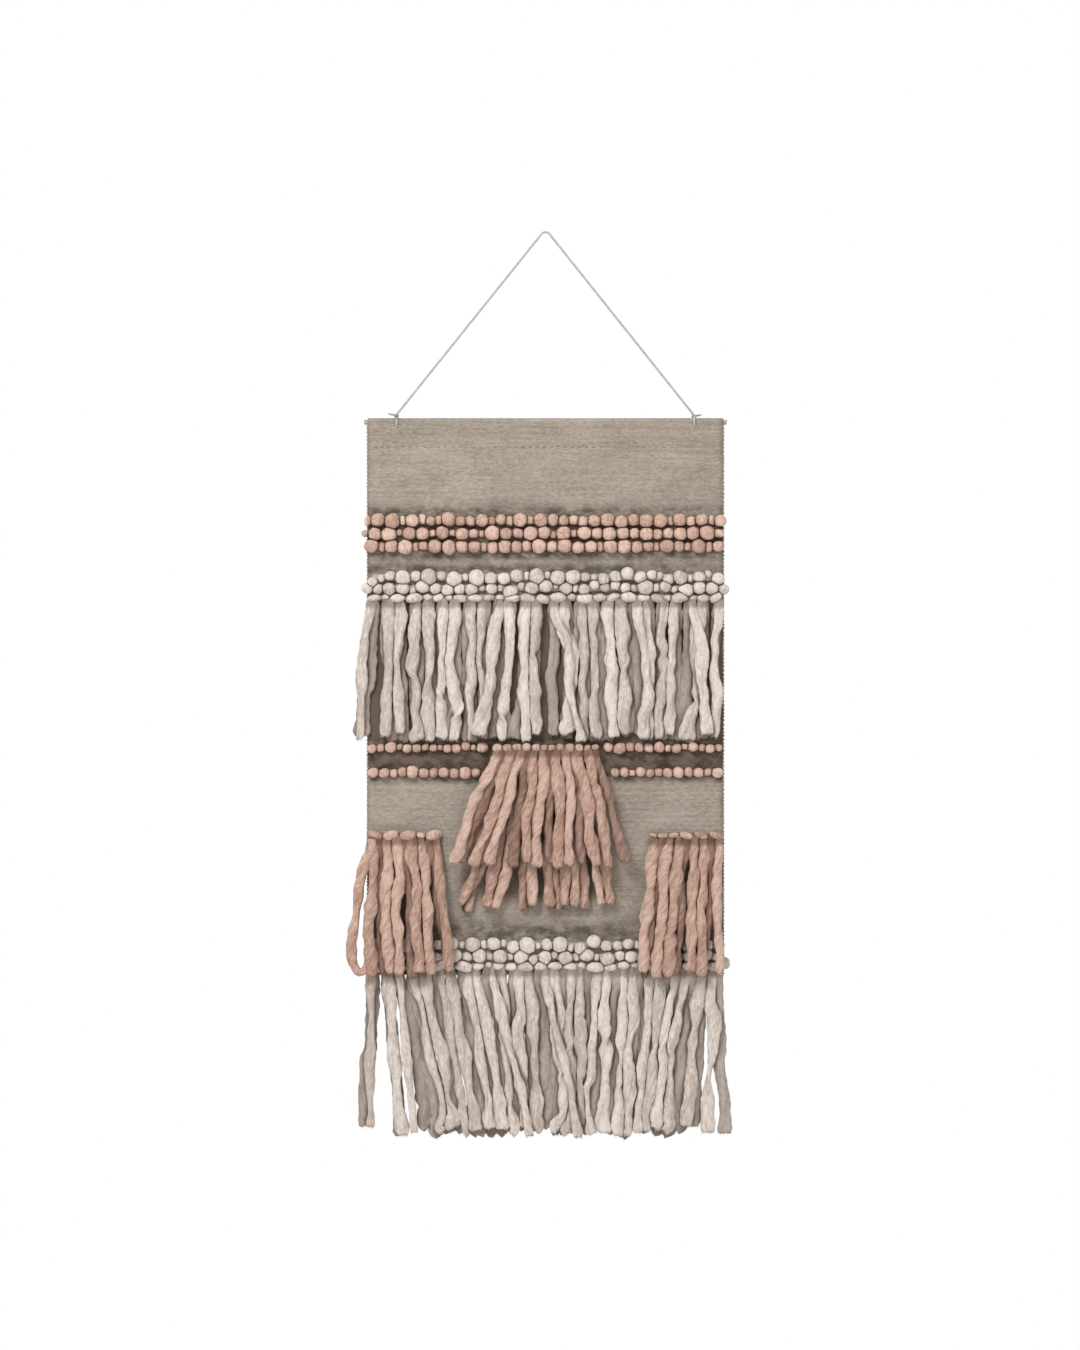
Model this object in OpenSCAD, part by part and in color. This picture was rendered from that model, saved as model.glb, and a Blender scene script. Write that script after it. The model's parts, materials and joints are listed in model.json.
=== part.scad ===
// Woven tapestry wall hanging on a dowel and a cord. Millimetres, +Z up, front towards -Y.
// The origin is the underside of the cord at its apex, where it sits on the wall hook.

/* [Ground cloth] */
// Width of the woven cloth, without its bound side edges
cloth_w = 454; // [420:1:600]
// Height of the cloth, from the fold over the dowel to its foot
cloth_h = 711; // [700:1:900]
// Thickness of the cloth
cloth_t = 2; // [1.5:0.1:3]
// Width of the yarn that binds each side edge
selvedge_d = 3.2; // [2.8:0.1:5]

/* [Dowel and hem] */
// Diameter of the wooden dowel
dowel_d = 6; // [5:0.2:9]
// Length of dowel that stands out past each bound edge
dowel_overhang = 3; // [1:0.5:10]
// Gap all round between the dowel and its hem
dowel_clearance = 0.2; // [0.1:0.1:1]
// Drop from the fold to the hem's stitch line
hem_drop = 34; // [25:1:50]
// Height of the turned edge below the stitch line
hem_turn = 6; // [3:0.5:10]
// Thickness of the sewing thread
thread_d = 0.9; // [0.5:0.1:1.4]
// Length of a stitch on the front
stitch_len = 6; // [3:0.5:10]
// Gap between stitches on the front
stitch_gap = 3; // [2:0.5:6]

/* [Hanging cord] */
// Diameter of the twisted cord
cord_d = 3; // [2:0.2:4]
// Drop from the hook to the fold over the dowel
hang_drop = 236; // [235:0.5:237]
// Gap between a cord loop and the hem that turns inside it
loop_clearance = 0.6; // [0.4:0.1:1]
// Gap round a cord loop where it passes through the cloth
hole_clearance = 0.35; // [0.3:0.05:0.5]
// Diameter of the knot that closes each cord loop
cord_knot_d = 7.2; // [6:0.2:10]
// Length of the cord's tail past its knot
cord_tail = 7; // [4:0.5:15]

/* [Yarn loops] */
// Diameter of the largest yarn loop in a row
loop_d = 14; // [10:0.5:18]
// How much smaller the smallest loop is
loop_spread = 3; // [0:0.5:4]
// Gap between two of the largest loops side by side
loop_gap = 0.8; // [0.6:0.1:3]
// Thickness of the yarn laid along behind a row of loops
laid_t = 1.5; // [1:0.1:3]
// Distance from the cloth's side edge to the outermost loop's centre
loop_inset = 7; // [6.5:0.5:15]

/* [Bands] */
// Plain cloth from the fold to the first blush row
plain_top = 124; // [60:1:150]
// Gap between the blush rows of the first band
blush_row_gap = 2.5; // [0.6:0.1:10]
// Plain cloth between the blush band and the cream band
plain_between = 25; // [5:1:60]
// Gap between the rows of a cream band
cream_row_gap = 0.6; // [0.5:0.1:5]
// Gap from the upper fringe's ends to the blush row under them
tail_gap = 1.8; // [1:0.1:10]
// Gap between the two single blush rows
pair_gap = 17.9; // [12:0.1:30]
// Drop from the lower single blush row to the side tassels' knots
side_tassel_drop = 80; // [40:1:100]
// Rise from the cloth's foot to the bottom fringe's knots
foot_rise = 11.5; // [8:0.5:30]

/* [Fringes and tassels] */
// Diameter of a knot that a strand hangs from
knot_d = 9; // [7:0.5:11]
// Diameter of an upper fringe strand at its knot
upper_strand_d = 10.4; // [8:0.2:13]
// Length of the upper fringe's longest strand
upper_len = 172; // [100:1:200]
// Diameter of a bottom fringe strand at its knot
bottom_strand_d = 10.2; // [8:0.2:13]
// Length of the bottom fringe's longest strand
bottom_len = 205; // [100:1:300]
// Diameter of a centre tassel strand at its knot
centre_strand_d = 8.2; // [6:0.2:10]
// Half width of the centre tassel's upper layer at its knots
centre_half_w = 62; // [40:1:80]
// Length of the centre tassel's upper layer
centre_upper_len = 143; // [100:1:160]
// Length of the centre tassel's lower layer
centre_lower_len = 168; // [160:1:200]
// How far each centre tassel layer fans out sideways at its ends
centre_fan = 43; // [0:1:60]
// Diameter of a side tassel strand at its knot
side_strand_d = 9.4; // [7:0.2:12]
// Width of a side tassel, over its outermost strands' centres
side_w = 84; // [50:1:100]
// Length of the side tassels' longest strand
side_len = 172; // [100:1:190]
// Distance from the cloth's side edge to the outermost strand's centre
strand_inset = 5; // [2:0.5:10]

/* [Hidden] */
$fn = 40;

TAUPE = [0.66, 0.61, 0.56];
BLUSH = [0.80, 0.68, 0.61];
CREAM = [0.86, 0.82, 0.78];
WOOD = [0.80, 0.68, 0.52];
CORD = [0.74, 0.70, 0.67];

// Cord route, from the left knot over the hook to the right knot
CORD_ROUTE = [
    [-190, -6, -232], [-176, -5.5, -214.5], [-160, -5, -194.5], [-128, -4, -154.5],
    [-96, -3, -114.5], [-64, -2, -74.5], [-32, -1, -34.5], [-16, -0.5, -14.5],
    [-8, -0.3, -4.5], [-5.5, -0.2, -1.3], [-4.2, -0.1, 0.1], [-2.2, 0, 1.15],
    [0, 0, 1.5],
    [2.2, 0, 1.15], [4.2, 0.1, 0.1], [5.5, 0.2, -1.3], [8, 0.3, -4.5],
    [16, 0.5, -14.5], [32, 1, -34.5], [64, 2, -74.5], [96, 3, -114.5],
    [128, 4, -154.5], [160, 5, -194.5], [176, 5.5, -214.5], [190, 6, -232]
];
CORD_SIDES = 8;
CORD_RING_STEP = 3 * cord_d;

WAIST = 50;             // degrees round a loop, below its widest line, at which its neck begins
NECK = 0.3;             // height of a loop's neck
CLEAR = 0.5;            // gap between a knot and the strand that turns under it
BACK_CLEAR = 0.8;       // gap between a hanging strand and the bound edge behind it
LAYER_CLEAR = 1.6;      // gap between two layers of hanging strands
SHOULDER = 0.97;        // half width of the hem where its sides begin, over the fold's radius
SWELL = 1.05;           // a strand's widest radius over its radius at the knot
LEAN = 2.5;             // degrees between the strands at the front of a fringe and those behind
LENGTH_SPREAD = 0.04;   // share of its length by which the shortest strand falls short

// Hem
sleeve_in = dowel_d / 2 + dowel_clearance;
sleeve_out = sleeve_in + cloth_t;
top_z = -hang_drop;
dowel_z = top_z - sleeve_out;
face = cloth_t / 2;
outer_w = cloth_w + selvedge_d;

// Cord loops and knots
loop_ring_r = sleeve_out + loop_clearance + cord_d / 2;
knot_reach = sleeve_out + CLEAR + cord_knot_d / 2;
KNOT_ANGLE = 47;        // degrees that each cord knot sits above the dowel's level

// Drops from the fold, worked down the cloth
loop_r = loop_d / 2;
knot_r = knot_d / 2;
blush_step = loop_d + blush_row_gap;
cream_step = loop_d + cream_row_gap;
cream_knot_step = loop_r + knot_r + cream_row_gap;
blush_1 = plain_top + loop_r;
cream_1 = blush_1 + 2 * blush_step + loop_d + plain_between;
upper_knots = cream_1 + cream_step + cream_knot_step;
upper_hinge = upper_knots + knot_r + CLEAR + upper_strand_d / 2;
blush_4 = upper_hinge + upper_len + tail_gap + loop_r;
blush_5 = blush_4 + loop_d + pair_gap;
centre_upper_hinge = blush_4 + knot_r + CLEAR + centre_strand_d / 2;
centre_lower_hinge = blush_5 + knot_r + CLEAR + centre_strand_d / 2;
side_knots = blush_5 + side_tassel_drop;
side_hinge = side_knots + knot_r + CLEAR + side_strand_d / 2;
bottom_knots = cloth_h - foot_rise;
bottom_hinge = bottom_knots + knot_r + CLEAR + bottom_strand_d / 2;
cream_4 = bottom_knots - cream_knot_step;
cream_3 = cream_4 - cream_step;

// Depths in front of the cloth's middle
loop_front = face + laid_t + NECK + loop_r * (1 + sin(WAIST));
upper_depth = hinge_depth(upper_strand_d);
bottom_depth = hinge_depth(bottom_strand_d);
side_depth = hinge_depth(side_strand_d);
lower_depth = hinge_depth(centre_strand_d);
centre_depth = lower_depth + centre_strand_d * SWELL + LAYER_CLEAR;

// Lean of the side tassels, so that they hang clear of the cream band under them
side_lean = atan(
    (loop_front + LAYER_CLEAR + side_strand_d / 2 * SWELL - side_depth)
    / (cream_3 - loop_r - side_hinge)
);

// Widths
row_half = cloth_w / 2 - loop_inset;
fringe_half = cloth_w / 2 - strand_inset;
lower_half_w = centre_half_w - centre_strand_d / 2;
blush_4_inner = centre_half_w + centre_strand_d / 2 + loop_r + LAYER_CLEAR;
blush_5_inner = blush_4_inner + centre_fan * (blush_5 - blush_4) / centre_upper_len;

function hinge_depth(d) = selvedge_d / 2 + BACK_CLEAR + d / 2;
// A repeatable wander between -1 and 1 along a row
function wander(i) = sin(i * 137.5);
function gaps(span, pitch) = max(1, floor(span / pitch + 0.001));
function strand_gaps(span, d) = gaps(span, d * SWELL + CLEAR);

function cross_frame(route, i) =
    let (
        a = route[max(i - 1, 0)],
        b = route[min(i + 1, len(route) - 1)],
        t = (b - a) / norm(b - a),
        side = cross(t, [0, 1, 0]),
        u = side / norm(side)
    )
    [u, cross(t, u)];

function split_route(route, step) = [
    for (i = [0 : len(route) - 2])
        let (cuts = ceil(norm(route[i + 1] - route[i]) / step))
        for (k = [0 : cuts - 1])
            route[i] + (route[i + 1] - route[i]) * k / cuts,
    route[len(route) - 1]
];

// Closed tube swept along a route
module tube(route, d, sides) {
    rings = len(route);
    points = [
        for (i = [0 : rings - 1])
            let (frame = cross_frame(route, i))
            for (s = [0 : sides - 1])
                route[i] + d / 2 * (cos(360 * s / sides) * frame[0] + sin(360 * s / sides) * frame[1])
    ];
    walls = [
        for (i = [0 : rings - 2])
            for (s = [0 : sides - 1])
                let (n = (s + 1) % sides)
                [i * sides + s, i * sides + n, (i + 1) * sides + n, (i + 1) * sides + s]
    ];
    first_cap = [for (s = [sides - 1 : -1 : 0]) s];
    last_cap = [for (s = [0 : sides - 1]) (rings - 1) * sides + s];
    polyhedron(points, concat([first_cap], walls, [last_cap]), convexity = 10);
}

// Ring of cord round the hem, thick enough for a tube of diameter d
module loop_ring(x, d) {
    translate([x, 0, dowel_z])
        rotate([0, 90, 0])
            rotate_extrude()
                translate([loop_ring_r, 0])
                    circle(d = d);
}

// Knot on a loop. side is -1 in front of the hem and 1 behind it
module cord_knot(x, side) {
    translate([x, side * knot_reach * cos(KNOT_ANGLE), dowel_z + knot_reach * sin(KNOT_ANGLE)]) {
        sphere(d = cord_knot_d);
        rotate([0, sign(x) * 55, 0]) {
            cylinder(d = cord_d * 0.9, h = cord_knot_d / 2 + cord_tail);
        }
    }
}

// Head of yarn on a neck, standing up from z = 0 with its middle at the given reach
module yarn_head(d, reach) {
    r = d / 2;
    rotate_extrude()
        polygon(concat(
            [[0, 0], [r * cos(WAIST), 0]],
            [for (a = [-WAIST : 28 : 90]) [r * cos(a), reach + r * sin(a)]]
        ));
}

// Flat bed of yarn laid along the cloth's front, under heads of diameter d
module laid_yarn(x_from, x_to, z, d) {
    bed_h = d * cos(WAIST) + 1;
    translate([x_from - bed_h / 2, -face - laid_t, z - bed_h / 2])
        cube([x_to - x_from + bed_h, laid_t, bed_h]);
}

// Row of raised yarn loops between two loop centres
module loop_row(x_from, x_to, drop, seed) {
    n = gaps(x_to - x_from, loop_d + loop_gap);
    z = top_z - drop;
    laid_yarn(x_from, x_to, z, loop_d);
    for (i = [0 : n]) {
        d = loop_d - loop_spread * (1 + wander(i + seed)) / 2;
        translate([x_from + (x_to - x_from) * i / n, -face - laid_t, z])
            rotate([90, 0, 0])
                yarn_head(d, d / 2 * sin(WAIST) + NECK);
    }
}

// Row of knots, each standing as far out as the strand that hangs under it
module knot_row(x_from, x_to, drop, strand_d, depth) {
    n = strand_gaps(x_to - x_from, strand_d);
    z = top_z - drop;
    // Knots in a tight row are cut down to the pitch
    d = min(knot_d, (x_to - x_from) / n - CLEAR);
    laid_yarn(x_from, x_to, z, d);
    for (i = [0 : n]) {
        translate([x_from + (x_to - x_from) * i / n, -face - laid_t, z])
            rotate([90, 0, 0])
                yarn_head(d, depth - face - laid_t);
    }
}

// One strand hanging from its round top, which is centred on the hinge line
module strand(d, length) {
    r = d / 2;
    rotate_extrude()
        polygon(concat(
            [for (a = [90 : -22.5 : 0]) [r * cos(a), r * sin(a)]],
            [
                [r * SWELL, -length * 0.45],
                [r, -length * 0.9],
                [r * 0.8, -length],
                [0, -length]
            ]
        ));
}

// Strands under a row of knots: the "front" ones, the "back" ones or "all". Two in three hang in front
module strands(x_from, x_to, drop, d, depth, length, lean, fan, layer = "all") {
    n = strand_gaps(x_to - x_from, d);
    middle = (x_from + x_to) / 2;
    half = (x_to - x_from) / 2;
    for (i = [0 : n]) {
        in_front = i % 3 != 1;
        if (layer == "all" || in_front == (layer == "front")) {
            x = x_from + (x_to - x_from) * i / n;
            spread = atan(fan * (x - middle) / half / length);
            forward = lean + (in_front ? LEAN : 0);
            own_length = length * (1 - LENGTH_SPREAD * (1 + wander(i)) / 2);
            translate([x, -depth, top_z - drop])
                rotate([-forward, 0, 0])
                    rotate([0, -spread, 0])
                        strand(d, own_length);
        }
    }
}

module hanging_cord() {
    color(CORD)
        tube(split_route(CORD_ROUTE, CORD_RING_STEP), cord_d, CORD_SIDES);
}

module left_cord_loop() {
    color(CORD)
        loop_ring(CORD_ROUTE[0].x, cord_d);
}

module right_cord_loop() {
    color(CORD)
        loop_ring(CORD_ROUTE[len(CORD_ROUTE) - 1].x, cord_d);
}

module left_cord_knot() {
    color(CORD)
        cord_knot(CORD_ROUTE[0].x, -1);
}

module right_cord_knot() {
    color(CORD)
        cord_knot(CORD_ROUTE[len(CORD_ROUTE) - 1].x, 1);
}

module dowel() {
    color(WOOD)
        translate([-outer_w / 2 - dowel_overhang, 0, dowel_z])
            rotate([0, 90, 0])
                cylinder(d = dowel_d, h = outer_w + 2 * dowel_overhang);
}

// Runs a section with y to the right and z up across the cloth's width
module across_cloth() {
    rotate([90, 0, 90])
        linear_extrude(cloth_w, center = true)
            children();
}

// The fold's sides run down from just inside its widest line to the stitch line
module ground_cloth() {
    stitch_z = top_z - hem_drop;
    turn_z = stitch_z - hem_turn;
    foot_z = top_z - cloth_h;
    outer_y = sleeve_out * SHOULDER;
    inner_y = sleeve_in * SHOULDER;
    color(TAUPE)
        difference() {
            union() {
                translate([-cloth_w / 2, 0, dowel_z])
                    rotate([0, 90, 0])
                        cylinder(r = sleeve_out, h = cloth_w);
                across_cloth()
                    polygon([
                        [-outer_y, dowel_z], [outer_y, dowel_z],
                        [face + cloth_t, stitch_z], [face + cloth_t, turn_z],
                        [face, turn_z], [face, foot_z], [-face, foot_z], [-face, stitch_z]
                    ]);
            }
            translate([-cloth_w / 2 - 1, 0, dowel_z])
                rotate([0, 90, 0])
                    cylinder(r = sleeve_in, h = cloth_w + 2);
            across_cloth()
                polygon([[-inner_y, dowel_z], [inner_y, dowel_z], [face, stitch_z]]);
            loop_ring(CORD_ROUTE[0].x, cord_d + 2 * hole_clearance);
            loop_ring(CORD_ROUTE[len(CORD_ROUTE) - 1].x, cord_d + 2 * hole_clearance);
        }
}

// Running stitch: front bars, back bars and the thread through the cloth between them
module hem_stitching() {
    step = stitch_len + stitch_gap;
    n = floor((cloth_w - 2 * stitch_len) / step);
    z = top_z - hem_drop - hem_turn / 2;
    front = -face - thread_d;
    back = face + cloth_t;
    color(TAUPE)
        for (i = [0 : n - 1]) {
            x = (i - n / 2) * step;
            translate([x, front, z])
                cube([stitch_len, thread_d * 1.5, thread_d]);
            translate([x, front, z])
                cube([thread_d, back + thread_d - front, thread_d]);
            translate([x + stitch_len - thread_d, front, z])
                cube([thread_d, back + thread_d - front, thread_d]);
            if (i < n - 1)
                translate([x + stitch_len - thread_d, back - thread_d / 2, z])
                    cube([stitch_gap + 2 * thread_d, thread_d * 1.5, thread_d]);
        }
}

// Yarn bound over one side edge, from the turned hem to the foot. side is -1 or 1
module selvedge(side) {
    bound_h = cloth_h - hem_drop - hem_turn;
    color(TAUPE)
        difference() {
            // level with the cloth's back, so that the back lies flat
            translate([side * cloth_w / 2, face - selvedge_d / 2, top_z - cloth_h])
                cylinder(d = selvedge_d, h = bound_h);
            translate([-cloth_w / 2, -face, top_z - cloth_h - 1])
                cube([cloth_w, cloth_t, bound_h + 2]);
        }
}

module left_selvedge() {
    selvedge(-1);
}

module right_selvedge() {
    selvedge(1);
}

module blush_band_row(k) {
    color(BLUSH)
        loop_row(-row_half, row_half, blush_1 + (k - 1) * blush_step, k * 7);
}

module blush_loop_row_1() {
    blush_band_row(1);
}

module blush_loop_row_2() {
    blush_band_row(2);
}

module blush_loop_row_3() {
    blush_band_row(3);
}

// Single blush row, broken in the middle for the centre tassel
module blush_broken_row(drop, inner, seed) {
    color(BLUSH) {
        loop_row(-row_half, -inner, drop, seed);
        loop_row(inner, row_half, drop, seed + 3);
    }
}

module blush_loop_row_4() {
    blush_broken_row(blush_4, blush_4_inner, 28);
}

module blush_loop_row_5() {
    blush_broken_row(blush_5, blush_5_inner, 35);
}

module cream_row(drop, seed) {
    color(CREAM)
        loop_row(-row_half, row_half, drop, seed);
}

module cream_loop_row_1() {
    cream_row(cream_1, 11);
}

module cream_loop_row_2() {
    cream_row(cream_1 + cream_step, 23);
}

module cream_loop_row_3() {
    cream_row(cream_3, 31);
}

module cream_loop_row_4() {
    cream_row(cream_4, 43);
}

module upper_fringe_knots() {
    color(CREAM)
        knot_row(-fringe_half, fringe_half, upper_knots, upper_strand_d, upper_depth);
}

module upper_fringe(layer) {
    color(CREAM)
        strands(-fringe_half, fringe_half, upper_hinge, upper_strand_d, upper_depth, upper_len, 0, 0, layer);
}

module upper_fringe_front_strands() {
    upper_fringe("front");
}

module upper_fringe_back_strands() {
    upper_fringe("back");
}

module bottom_fringe_knots() {
    color(CREAM)
        knot_row(-fringe_half, fringe_half, bottom_knots, bottom_strand_d, bottom_depth);
}

module bottom_fringe(layer) {
    color(CREAM)
        strands(
            -fringe_half, fringe_half, bottom_hinge, bottom_strand_d, bottom_depth, bottom_len, 0, 0, layer
        );
}

module bottom_fringe_front_strands() {
    bottom_fringe("front");
}

module bottom_fringe_back_strands() {
    bottom_fringe("back");
}

module centre_tassel_upper_knots() {
    color(BLUSH)
        knot_row(-centre_half_w, centre_half_w, blush_4, centre_strand_d, centre_depth);
}

module centre_tassel_upper_strands() {
    color(BLUSH)
        strands(
            -centre_half_w, centre_half_w, centre_upper_hinge, centre_strand_d, centre_depth,
            centre_upper_len, 3, centre_fan
        );
}

module centre_tassel_lower_knots() {
    color(BLUSH)
        knot_row(-lower_half_w, lower_half_w, blush_5, centre_strand_d, lower_depth);
}

module centre_tassel_lower_strands() {
    color(BLUSH)
        strands(
            -lower_half_w, lower_half_w, centre_lower_hinge, centre_strand_d, lower_depth,
            centre_lower_len, 0, centre_fan
        );
}

module side_knot_row(x_from) {
    color(BLUSH)
        knot_row(x_from, x_from + side_w, side_knots, side_strand_d, side_depth);
}

module side_strands(x_from) {
    color(BLUSH)
        strands(x_from, x_from + side_w, side_hinge, side_strand_d, side_depth, side_len, side_lean, 0);
}

module left_tassel_knots() {
    side_knot_row(-fringe_half);
}

module left_tassel_strands() {
    side_strands(-fringe_half);
}

module right_tassel_knots() {
    side_knot_row(fringe_half - side_w);
}

module right_tassel_strands() {
    side_strands(fringe_half - side_w);
}

hanging_cord();
left_cord_loop();
right_cord_loop();
left_cord_knot();
right_cord_knot();
dowel();
ground_cloth();
hem_stitching();
left_selvedge();
right_selvedge();
blush_loop_row_1();
blush_loop_row_2();
blush_loop_row_3();
cream_loop_row_1();
cream_loop_row_2();
upper_fringe_knots();
upper_fringe_front_strands();
upper_fringe_back_strands();
blush_loop_row_4();
blush_loop_row_5();
centre_tassel_upper_knots();
centre_tassel_upper_strands();
centre_tassel_lower_knots();
centre_tassel_lower_strands();
left_tassel_knots();
left_tassel_strands();
right_tassel_knots();
right_tassel_strands();
cream_loop_row_3();
cream_loop_row_4();
bottom_fringe_knots();
bottom_fringe_front_strands();
bottom_fringe_back_strands();
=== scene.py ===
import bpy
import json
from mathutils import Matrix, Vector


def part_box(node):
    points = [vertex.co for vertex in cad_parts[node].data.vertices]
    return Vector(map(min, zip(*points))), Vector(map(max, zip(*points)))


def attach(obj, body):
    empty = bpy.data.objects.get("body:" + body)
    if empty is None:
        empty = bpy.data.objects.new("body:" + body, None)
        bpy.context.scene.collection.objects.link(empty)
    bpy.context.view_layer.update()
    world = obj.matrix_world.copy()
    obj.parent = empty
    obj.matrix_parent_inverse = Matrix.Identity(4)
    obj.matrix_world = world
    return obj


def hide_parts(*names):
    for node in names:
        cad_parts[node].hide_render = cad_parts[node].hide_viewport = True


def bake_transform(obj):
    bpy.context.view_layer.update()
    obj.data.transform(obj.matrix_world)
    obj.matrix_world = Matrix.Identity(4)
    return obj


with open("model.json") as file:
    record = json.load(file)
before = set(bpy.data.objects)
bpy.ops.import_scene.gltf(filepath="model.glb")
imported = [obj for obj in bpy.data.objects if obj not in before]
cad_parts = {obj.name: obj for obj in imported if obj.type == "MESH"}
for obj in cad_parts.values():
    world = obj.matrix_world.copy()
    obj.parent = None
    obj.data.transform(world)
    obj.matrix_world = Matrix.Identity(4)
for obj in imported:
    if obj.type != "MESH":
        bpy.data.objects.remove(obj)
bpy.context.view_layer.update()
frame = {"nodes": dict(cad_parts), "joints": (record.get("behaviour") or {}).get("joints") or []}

import json
import math
from collections import namedtuple

import bmesh
import bpy
import numpy as np

MM = 0.001
TAU = 2 * math.pi

# ---------------------------------------------------------------- sizes from the frame


def box(node):
    low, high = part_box(node)
    return np.array(low, float), np.array(high, float)


def hinge_of(child):
    """Where a body's hinge line is, as (y, z)."""
    joint = next(joint for joint in frame["joints"] if joint["child"] == child)
    return joint["pos_m"][1], joint["pos_m"][2]


def stand_for(piece, body, node):
    """The piece moves with a body, and stands for a CAD node."""
    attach(piece, body)
    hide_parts(node)
    return piece


CLOTH_LOW, CLOTH_HIGH = box("ground_cloth")
DOWEL_LOW, DOWEL_HIGH = box("dowel")
DOWEL_Z = (DOWEL_LOW[2] + DOWEL_HIGH[2]) / 2
SLEEVE_R = CLOTH_HIGH[2] - DOWEL_Z
CLOTH_HALF = CLOTH_HIGH[0]
CLOTH_T = 2 * MM
FACE = -CLOTH_T / 2
STITCH_Z = box("hem_stitching")[0][2] + 0.45 * MM
TURN_Z = STITCH_Z - 3 * MM
CORD_D = 3 * MM

# ---------------------------------------------------------------- camera, light and stage

VIEW_CENTRE = (-0.007, -0.564)
VIEW_HEIGHT = 1.724
LENS = 100.0
SENSOR = 36.0
LIGHT_TARGET = (0, 0, -0.6)
FLOOR_Z = -1.6
FLOOR_EDGES = (-2.6, 2.6, -4.0, 0.9)
WORLD_LOW, WORLD_HIGH = 0.30, 0.75
KEY_POWER, FILL_POWER = 62, 8


def link_object(name, data):
    thing = bpy.data.objects.new(name, data)
    bpy.context.scene.collection.objects.link(thing)
    return thing


def add_camera():
    data = bpy.data.cameras.new("camera")
    data.lens = LENS
    data.sensor_width = SENSOR
    data.clip_end = 50
    camera = link_object("camera", data)
    camera.location = (VIEW_CENTRE[0], -VIEW_HEIGHT * LENS / SENSOR, VIEW_CENTRE[1])
    camera.rotation_euler = (math.radians(90), 0, 0)
    bpy.context.scene.camera = camera


def add_light(name, location, size, power):
    data = bpy.data.lights.new(name, "AREA")
    data.size = size
    data.energy = power
    lamp = link_object(name, data)
    lamp.location = location
    x, y, z = np.array(LIGHT_TARGET) - np.array(location)
    lamp.rotation_euler = (math.atan2(math.hypot(x, y), -z), 0, math.atan2(-x, y))


def add_studio():
    """A white sweep behind the object, and softer light on its front, brighter from above."""
    world = bpy.data.worlds.new("studio")
    world.use_nodes = True
    tree = Tree(world.node_tree)
    generated = tree.add("ShaderNodeTexCoord").outputs["Generated"]
    axes = tree.add("ShaderNodeSeparateXYZ", {0: generated}).outputs
    behind = tree.range(axes["Y"], -0.1, 0.5)
    above = tree.range(axes["Z"], -0.4, 0.8, WORLD_LOW, WORLD_HIGH)
    strength = tree.add("ShaderNodeMix", {0: behind, 2: above, 3: 1.0}).outputs[0]
    tree.feed("Background", {"Color": (1, 1, 1), "Strength": strength})
    bpy.context.scene.world = world
    add_light("key", (-1.0, -2.3, 1.3), 0.9, KEY_POWER)
    add_light("fill", (1.6, -2.6, -0.2), 1.6, FILL_POWER)
    bpy.context.scene.view_settings.view_transform = "Standard"
    bpy.context.scene.view_settings.look = "None"

    mesh = bpy.data.meshes.new("floor")
    left, right, near, far = FLOOR_EDGES
    corners = ((left, near), (right, near), (right, far), (left, far))
    mesh.from_pydata([(x, y, FLOOR_Z) for x, y in corners], [], [(0, 1, 2, 3)])
    paper = Nodes("floor_paper")
    paper.feed("Principled BSDF", {"Base Color": (0.86, 0.86, 0.85), "Roughness": 0.9})
    mesh.materials.append(paper.material)
    link_object("floor", mesh)


# ---------------------------------------------------------------- materials


class Tree:
    """Short names for building a node tree."""

    def __init__(self, tree):
        self.tree = tree

    def feed(self, node, inputs):
        """Sets a node's inputs to numbers or colours, or links them to other nodes' outputs."""
        if isinstance(node, str):
            node = self.tree.nodes[node]
        for key, value in inputs.items():
            if isinstance(value, (int, float)):
                node.inputs[key].default_value = value
            elif isinstance(value, tuple):
                node.inputs[key].default_value = (*value, 1)
            else:
                self.tree.links.new(value, node.inputs[key])

    def add(self, kind, inputs=None, **settings):
        node = self.tree.nodes.new(kind)
        for key, value in settings.items():
            setattr(node, key, value)
        self.feed(node, inputs or {})
        return node

    def range(self, value, low, high, to_low=0.0, to_high=1.0):
        limits = {"From Min": low, "From Max": high, "To Min": to_low, "To Max": to_high}
        return self.add("ShaderNodeMapRange", {**limits, "Value": value}).outputs["Result"]


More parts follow.
